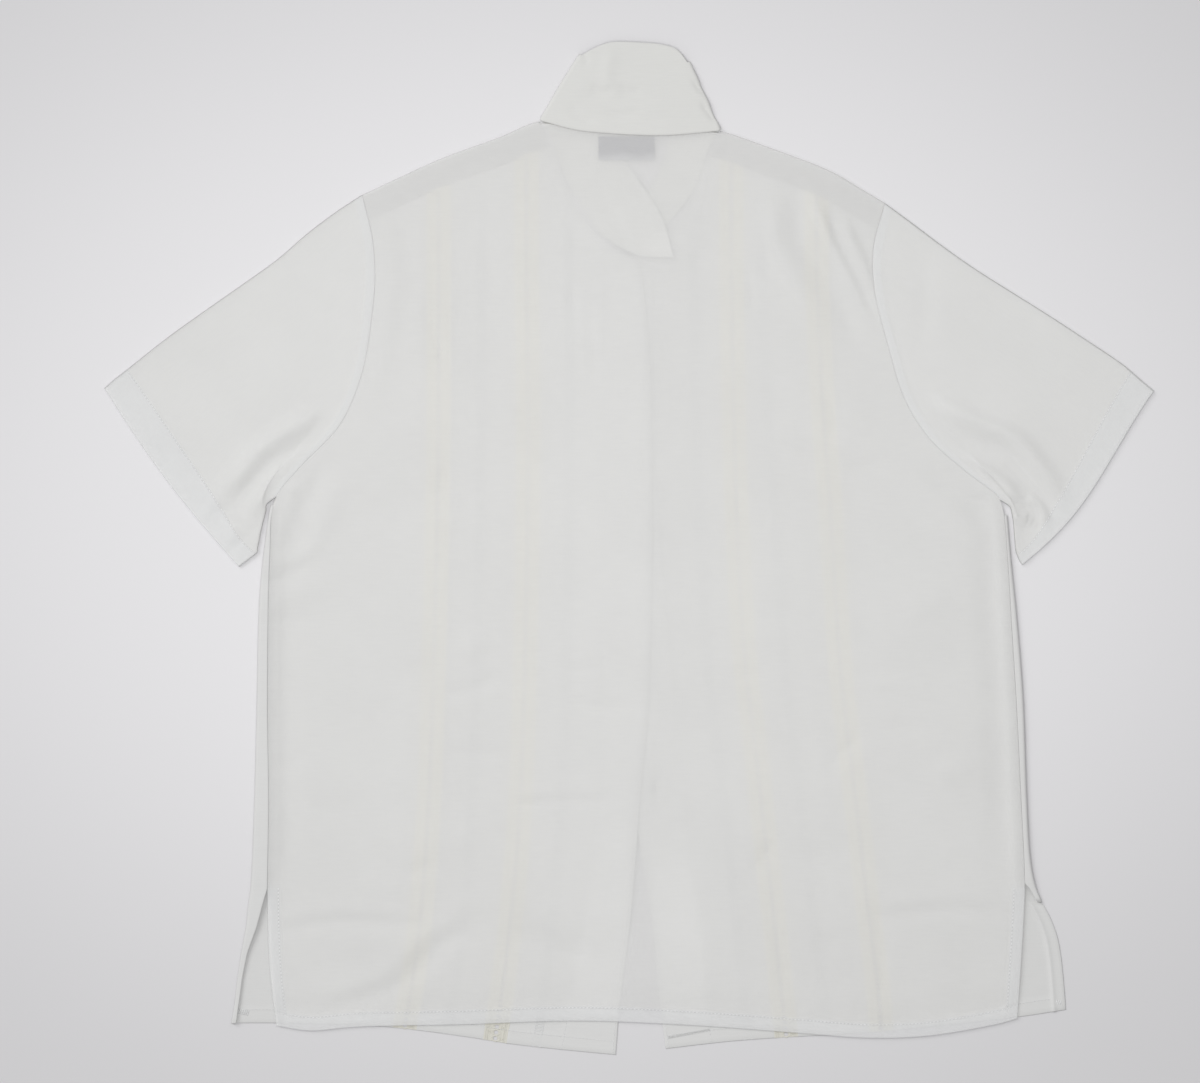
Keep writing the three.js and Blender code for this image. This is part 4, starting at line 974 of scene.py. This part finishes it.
def buttonFinish():
    # shell-like plastic: a soft swirl of two whites under a clear gloss
    made, tree, shader = newFinish("buttonShell", {"Roughness": 0.25, "Coat Weight": 0.4})
    place = addNode(tree, "TexCoord")
    swirl = addNode(tree, "TexNoise", {"Scale": 260, "Distortion": 2.5}, {"Vector": place.outputs["Object"]})
    ramp = addNode(tree, "ValToRGB", None, {"Fac": swirl.outputs["Fac"]})
    ramp.color_ramp.elements[0].color = (0.70, 0.69, 0.66, 1)
    ramp.color_ramp.elements[1].color = (0.88, 0.88, 0.86, 1)
    tree.links.new(ramp.outputs["Color"], shader.inputs["Base Color"])
    return made


def makeButton(number, x0, y0, material):
    # four quarters, each a ring of rays from its hole to its quarter's outline; the wall is
    # thickest in a rounded rim and dished inside it
    size, hole = button["radius"], button["hole"]
    n, patches = button["around"], []
    t = np.linspace(0, 1, n, endpoint=False)
    arc = t * math.pi / 2
    outline = np.concatenate([np.stack([t * size, 0 * t], -1),
                              np.stack([np.cos(arc), np.sin(arc)], -1) * size,
                              np.stack([0 * t, (1 - t) * size], -1), [[0, 0]]])
    centre = np.array([1, 1]) * button["ring"] / math.sqrt(2)
    ray = outline - centre
    inner = centre + ray / np.linalg.norm(ray, axis=1, keepdims=True) * hole
    across = np.linspace(0, 1, button["across"])[:, None, None]
    quarter = blendTo(inner[None], outline[None], across ** 0.8)[::-1]
    for turn in range(4):
        c, s = math.cos(turn * math.pi / 2), math.sin(turn * math.pi / 2)
        x, y = quarter[..., 0] * c - quarter[..., 1] * s, quarter[..., 0] * s + quarter[..., 1] * c
        r = np.hypot(x, y) / size
        rim = (1 - button["dish"]) * bump(r, button["rimAt"], button["rimHalf"])
        wall = button["wall"] * (button["dish"] + rim) * np.sqrt(np.clip(1.02 - r ** 14, 0, 1))
        patches.append(stamp(x + x0, y + y0, 1.0 + 0 * x, wall, x, y, 0 * x))
    return clothShell(f"button_{number}_shell", patches, material, edgeWall=0.9)


def bars(name, middles, ways, length, width, height, material):
    # short stitches as joined bars: rings of four at 0, 0.2, 0.8 and 1 of the length, thinner at the ends
    ways = ways / np.maximum(np.linalg.norm(ways, axis=1, keepdims=True), 1e-9)
    across = np.cross(ways, (0, 0, 1.0))
    across /= np.maximum(np.linalg.norm(across, axis=1, keepdims=True), 1e-9)
    up = np.cross(across, ways)
    at = np.array([-0.5, -0.3, 0.3, 0.5])[None, :, None, None] * length
    slim = np.array([0.35, 1, 1, 0.35])[None, :, None, None]
    sink = np.array([-0.7, 0, 0, -0.7])[None, :, None, None] * height
    ring = np.array([(0.5, 0), (0, 0.5), (-0.5, 0), (0, -0.5)])
    a, b = ring[:, 0][None, None, :, None], ring[:, 1][None, None, :, None]
    wide = across[:, None, None, :] * a * width * slim
    tall = up[:, None, None, :] * (b * height * slim + sink)
    points = middles[:, None, None, :] + ways[:, None, None, :] * at + wide + tall
    index = np.arange(len(middles) * 16).reshape(-1, 4, 4)
    turn = np.roll(index, -1, axis=2)
    walls = np.stack([index[:, :-1], index[:, 1:], turn[:, 1:], turn[:, :-1]], -1).reshape(-1, 4)
    faces = np.concatenate([walls, index[:, 0], index[:, -1, ::-1]])
    points = points.reshape(-1, 3)
    return addMesh(name, points, faces, points[faces][:, :, :2], np.zeros(len(points)), material)


buttonShell = buttonFinish()
buttons, sewnThrough = [], []
for number in range(button["count"]):
    y0 = button["topY"] - button["pitch"] * number
    x0 = float(buttonX(np.array(y0, float)))
    buttons.append(makeButton(number + 1, x0, y0, buttonShell))
    sewnThrough.append((x0, y0))
centres = np.array(sewnThrough)
gap = button["ring"] / math.sqrt(2)
crossing = np.concatenate([np.stack([centres[:, 0] + dx, centres[:, 1], 0 * centres[:, 0] + 0.66], -1)
                           for dx in (-gap, gap)])
buttonThread = bars("button_thread", crossing, np.tile([0, 1.0, 0], (len(crossing), 1)), 2 * gap + 1.2,
                    0.9, 0.7, finish["sewingThread"])
print("buttons made")

# Sewing
sewing = {"pitch": 3.0, "length": 2.2, "width": 0.38, "height": 0.24}


def alongRoute(x, y, z, pitch):
    # even places on a route, with the way it runs there
    line = np.stack([x, y, z], -1)
    run = np.concatenate([[0], np.cumsum(np.linalg.norm(np.diff(line, axis=0), axis=1))])
    at = np.arange(pitch / 2, run[-1], pitch)
    middles = np.stack([np.interp(at, run, line[:, k]) for k in range(3)], -1)
    return middles, np.gradient(middles, axis=0)


def stitchRow(name, routes, pitch=None, length=None):
    found = [alongRoute(*route, pitch or sewing["pitch"]) for route in routes]
    return bars(name, np.concatenate([f[0] for f in found]), np.concatenate([f[1] for f in found]),
                length or sewing["length"], sewing["width"], sewing["height"], finish["sewingThread"])


def backStitching():
    # one row along the hem and one up each slit, on the cloth's upper face
    inFrom = back["hem"] - back["stitchIn"]
    x = np.linspace(-284, 314, 500)
    y = readCurve("backHem", 0, x) + inFrom
    routes = [(x, y, backTop(x, y))]
    for name, sign in (("backLeft", 1), ("backRight", -1)):
        y = np.linspace(-382, back["slitTop"], 160)
        x = readCurve(name, 1, y) + sign * (back["slitHem"] - back["stitchIn"])
        routes.append((x, y, backTop(x, y)))
    return stitchRow("back_stitching", routes)


def frontStitching(side):
    # along the hem, the facing's inner edge and the button edge, on the inner face
    plan = plans[side]
    routes = []
    r = plan.rows(4)
    edge = plan.lines(r)
    for k, inside in ((0, 2.5), (1, -1.5)):
        x = edge[k] + plan.sign * inside
        y = plan.place(r, x)
        wall = cloth["hemWall"]
        routes.append((x, y, plan.low(x, y) + cloth["gap"] + wall))
    q = np.linspace(0.01, 0.985, 300)
    hemRow = np.full(q.shape, 0.9)
    ends = plan.ends(hemRow)
    x = blendTo(ends[0], ends[2], q)
    y = plan.place(hemRow, x)
    routes.append((x, y, plan.low(x, y) + cloth["gap"] + cloth["hemWall"]))
    return stitchRow(f"front_{side}_stitching", routes)


# openwork columns by the lace band they follow and their distance from its middle; the half width, the
# wave's length and the threads' width, height and lift over the cloth in one column
columns = {"left": [("inner", 34), ("outer", 35), ("outer", 14)], "right": [("inner", -31), ("outer", -46)],
           "half": 3.2, "wave": 6, "pitch": 1.5, "width": 0.8, "height": 0.3, "lift": 0.12}


def makeColumns(side):
    # two straight threads and two crossed zigzags between them, up the front's inner face
    plan = plans[side]
    run = np.arange(0, plan.length[-1] - 12, columns["pitch"])
    r = np.interp(run, plan.length, np.arange(plan.last + 1))
    y0 = np.minimum(plan.ends(r)[1], front["neckY"])
    paths = []
    for band, away in columns[side]:
        middle = frontLine(side, band, y0) + away
        for shape, reach, phase in (("straight", columns["half"], 0), ("straight", -columns["half"], 0),
                                    ("zigzag", columns["half"], 0), ("zigzag", columns["half"], 0.5)):
            x = middle + threadOffset(shape, reach, columns["wave"], phase, run)
            y = plan.place(r, x)
            z = plan.low(x, y) + cloth["gap"] + cloth["wall"] + columns["lift"]
            paths.append(np.stack([x, y, z], -1))
    many = len(paths)
    return ribbons(f"front_{side}_openwork_columns", paths, [columns["width"]] * many,
                   [columns["height"]] * many, finish["sewingThread"])


# buttonholes beside the right front's edge, bar tacks at the slits' feet, and the facing's zigzag end
smallSewing = {"holeIn": 17, "holeLength": 13, "holeHalf": 0.9, "tackLeft": [(-320.5, -379), (-312, -381)],
               "tackRight": [(347, -371), (355, -373)], "tackLength": 5, "tackPitch": 0.8,
               "facingEnd": [(32, -401), (66, -394.5)], "facingFold": [(30, -372), (68, -367)], "zigzag": 2.2}


def makeSmallSewing():
    plan = plans["right"]
    top = cloth["gap"] + cloth["hemWall"] + 0.1
    y = button["topY"] - button["pitch"] * np.arange(button["count"] - 1)
    x = frontLine("right", "edge", y) + smallSewing["holeIn"]
    x, y = np.concatenate([x - smallSewing["holeHalf"], x + smallSewing["holeHalf"]]), np.tile(y, 2)
    middles = np.stack([x, y, plan.low(x, y) + top], -1)
    holes = bars("buttonhole_stitching", middles, np.tile([0, 1.0, 0], (len(x), 1)),
                 smallSewing["holeLength"], 1.3, 0.4, finish["sewingThread"])
    tacks, ways = [], []
    for side in sides:
        (x0, y0), (x1, y1) = smallSewing["tack" + side.capitalize()]
        share = np.arange(0, 1, smallSewing["tackPitch"] / abs(x1 - x0))
        x, y = blendTo(x0, x1, share), blendTo(y0, y1, share)
        tacks.append(np.stack([x, y, plans[side].low(x, y) + top], -1))
        ways.append(np.stack([0.35 * (-1.0) ** np.arange(len(x)), np.ones(len(x)), 0 * x], -1))
    tacked = bars("bar_tacks", np.concatenate(tacks), np.concatenate(ways), smallSewing["tackLength"],
                  0.7, 0.5, finish["sewingThread"])
    (x0, y0), (x1, y1) = smallSewing["facingEnd"]
    share = np.linspace(0, 1, 61)
    x = blendTo(x0, x1, share)
    y = blendTo(y0, y1, share) + smallSewing["zigzag"] / 2 * (-1.0) ** np.arange(61)
    zigzag = np.stack([x, y, plan.low(x, y) + top], -1)
    (x0, y0), (x1, y1) = smallSewing["facingFold"]
    x, y = blendTo(x0, x1, share), blendTo(y0, y1, share)
    fold = np.stack([x, y, plan.low(x, y) + top], -1)
    ended = ribbons("facing_end_stitching", [zigzag, fold], [0.7, 1.1], [0.4, 0.5], finish["sewingThread"])
    return [holes, tacked, ended]


backThread = backStitching()
frontThread = {side: frontStitching(side) for side in sides}
openColumns = {side: makeColumns(side) for side in sides}
sleeveThread = {side: stitchRow(f"sleeve_{side}_stitching", [sleeveHems[side]]) for side in sides}
smallPieces = makeSmallSewing()
print("sewing made")

# What each piece stands for
# width, length and area of each cut, in metres: what shows of it, without what its hems turn under
frontFlats = {
    "centre": (0.093, 0.740, 0.0640), "middle": (0.057, 0.730, 0.0405), "side": (0.165, 0.660, 0.0765),
    "lace_inner": (0.018, 0.730, None), "lace_outer": (0.018, 0.700, None),
}
# piece, node, slot, width, length and area of the cut, what it rests on and what is sewn on it
sheets = [
    (backPanel, "back", "cloth", (0.620, 0.750, 0.402),
     ["front_left_middle", "front_right_middle"], [backThread]),
    (sleeves["left"], "sleeve_left", "cloth", (0.520, 0.260, 0.068), [], [sleeveThread["left"]]),
    (sleeves["right"], "sleeve_right", "cloth", (0.520, 0.260, 0.066), [], [sleeveThread["right"]]),
    (collarPiece, "collar", "collar_cloth", (0.410, 0.072, 0.0205), ["back"], []),
    (labelPiece, "neck_label", "label_cloth", (0.046, 0.0195, None), ["back"], []),
]
for (side, name), piece in fronts.items():
    slot = "lace" if "lace" in name else "cloth"
    sewn = [frontThread[side]] if name == "centre" else []
    sheets.append((piece, f"front_{side}_{name}", slot, frontFlats[name], [], sewn))
for piece, node, slot, cut, restsOn, sewn in sheets:
    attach(piece, "root")
    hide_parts(node)
for piece in [backThread, *frontThread.values(), *openColumns.values(), *sleeveThread.values(), *smallPieces,
              buttonThread]:
    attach(piece, "root")
for number, piece in enumerate(buttons):
    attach(piece, "root")
    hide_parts(f"button_{number + 1}")

# Floor, light and camera
# paleTo, dimFrom and the dim shade paint a falloff of light into the floor's colour
studio = {"floor": 4.0, "floorShade": (0.779, 0.772, 0.787), "cameraHeight": 3.0, "viewWidth": 0.984,
          "viewMiddle": (-0.0238, 0.0057), "sky": (1.0, 1.0, 1.0), "skyStrength": 0.475,
          "lampPower": 5.5, "lampPlace": (-0.10, 0.09, 1.25), "lampSize": 0.5,
          "windowPower": 0.96, "windowWay": (0.78, -0.62, -0.85), "windowSoft": 0.6,
          "paleTo": 0.42, "dimFrom": 1.35, "paintedDimShade": 0.865, "ovalAt": (0.06, -0.14, 0),
          "ovalHalf": (0.70, 0.43), "floorZ": -0.0001}


def makeFloor():
    # painted falloff of light: the floor's colour darkens with distance from the middle of the table, on an
    # oval a little wider than deep
    half, z = studio["floor"] / 2, studio["floorZ"]
    mesh = bpy.data.meshes.new("floor")
    corners = [(-half, -half, z), (half, -half, z), (half, half, z), (-half, half, z)]
    mesh.from_pydata(corners, [], [(0, 1, 2, 3)])
    made, tree, shader = newFinish("tableTopPaintedFalloff", {"Roughness": 0.6})
    place = addNode(tree, "TexCoord")
    wide, deep = studio["ovalHalf"]
    oval = addNode(tree, "Mapping", {"Location": studio["ovalAt"], "Scale": (1 / wide, 1 / deep, 1)},
                   {"Vector": place.outputs["Object"]})
    far = addNode(tree, "VectorMath", None, {0: oval.outputs["Vector"]}, operation="LENGTH")
    # painted falloff of light: full colour near the middle, down to the dim shade further out
    tone = addNode(tree, "MapRange", {"From Min": studio["paleTo"], "From Max": studio["dimFrom"],
                                      "To Min": 1.0, "To Max": studio["paintedDimShade"]},
                   {"Value": far.outputs["Value"]}, interpolation_type="SMOOTHSTEP")
    shade = addNode(tree, "VectorMath", {0: studio["floorShade"]}, {"Scale": tone.outputs["Result"]},
                    operation="SCALE")
    tree.links.new(shade.outputs["Vector"], shader.inputs["Base Color"])
    mesh.materials.append(made)
    putObject("floor", mesh)


def makeLight():
    world = bpy.data.worlds.new("studio")
    world.use_nodes = True
    sky = world.node_tree.nodes["Background"]
    sky.inputs["Color"].default_value = (*studio["sky"], 1)
    sky.inputs["Strength"].default_value = studio["skyStrength"]
    bpy.context.scene.world = world
    overhead = bpy.data.lights.new("overhead", "AREA")
    overhead.energy = studio["lampPower"]
    overhead.size = studio["lampSize"]
    putObject("overhead", overhead).location = studio["lampPlace"]
    daylight = bpy.data.lights.new("window", "SUN")
    daylight.energy = studio["windowPower"]
    daylight.angle = studio["windowSoft"]
    window = putObject("window", daylight)
    window.rotation_euler = Vector(studio["windowWay"]).to_track_quat("-Z", "Y").to_euler()


def makeCamera():
    lens = bpy.data.cameras.new("camera")
    lens.sensor_width = 36
    lens.lens = 36 * studio["cameraHeight"] / studio["viewWidth"]
    camera = putObject("camera", lens)
    camera.location = (*studio["viewMiddle"], studio["cameraHeight"])
    bpy.context.scene.camera = camera


makeFloor()
makeLight()
makeCamera()
bpy.context.scene.view_settings.view_transform = "Standard"
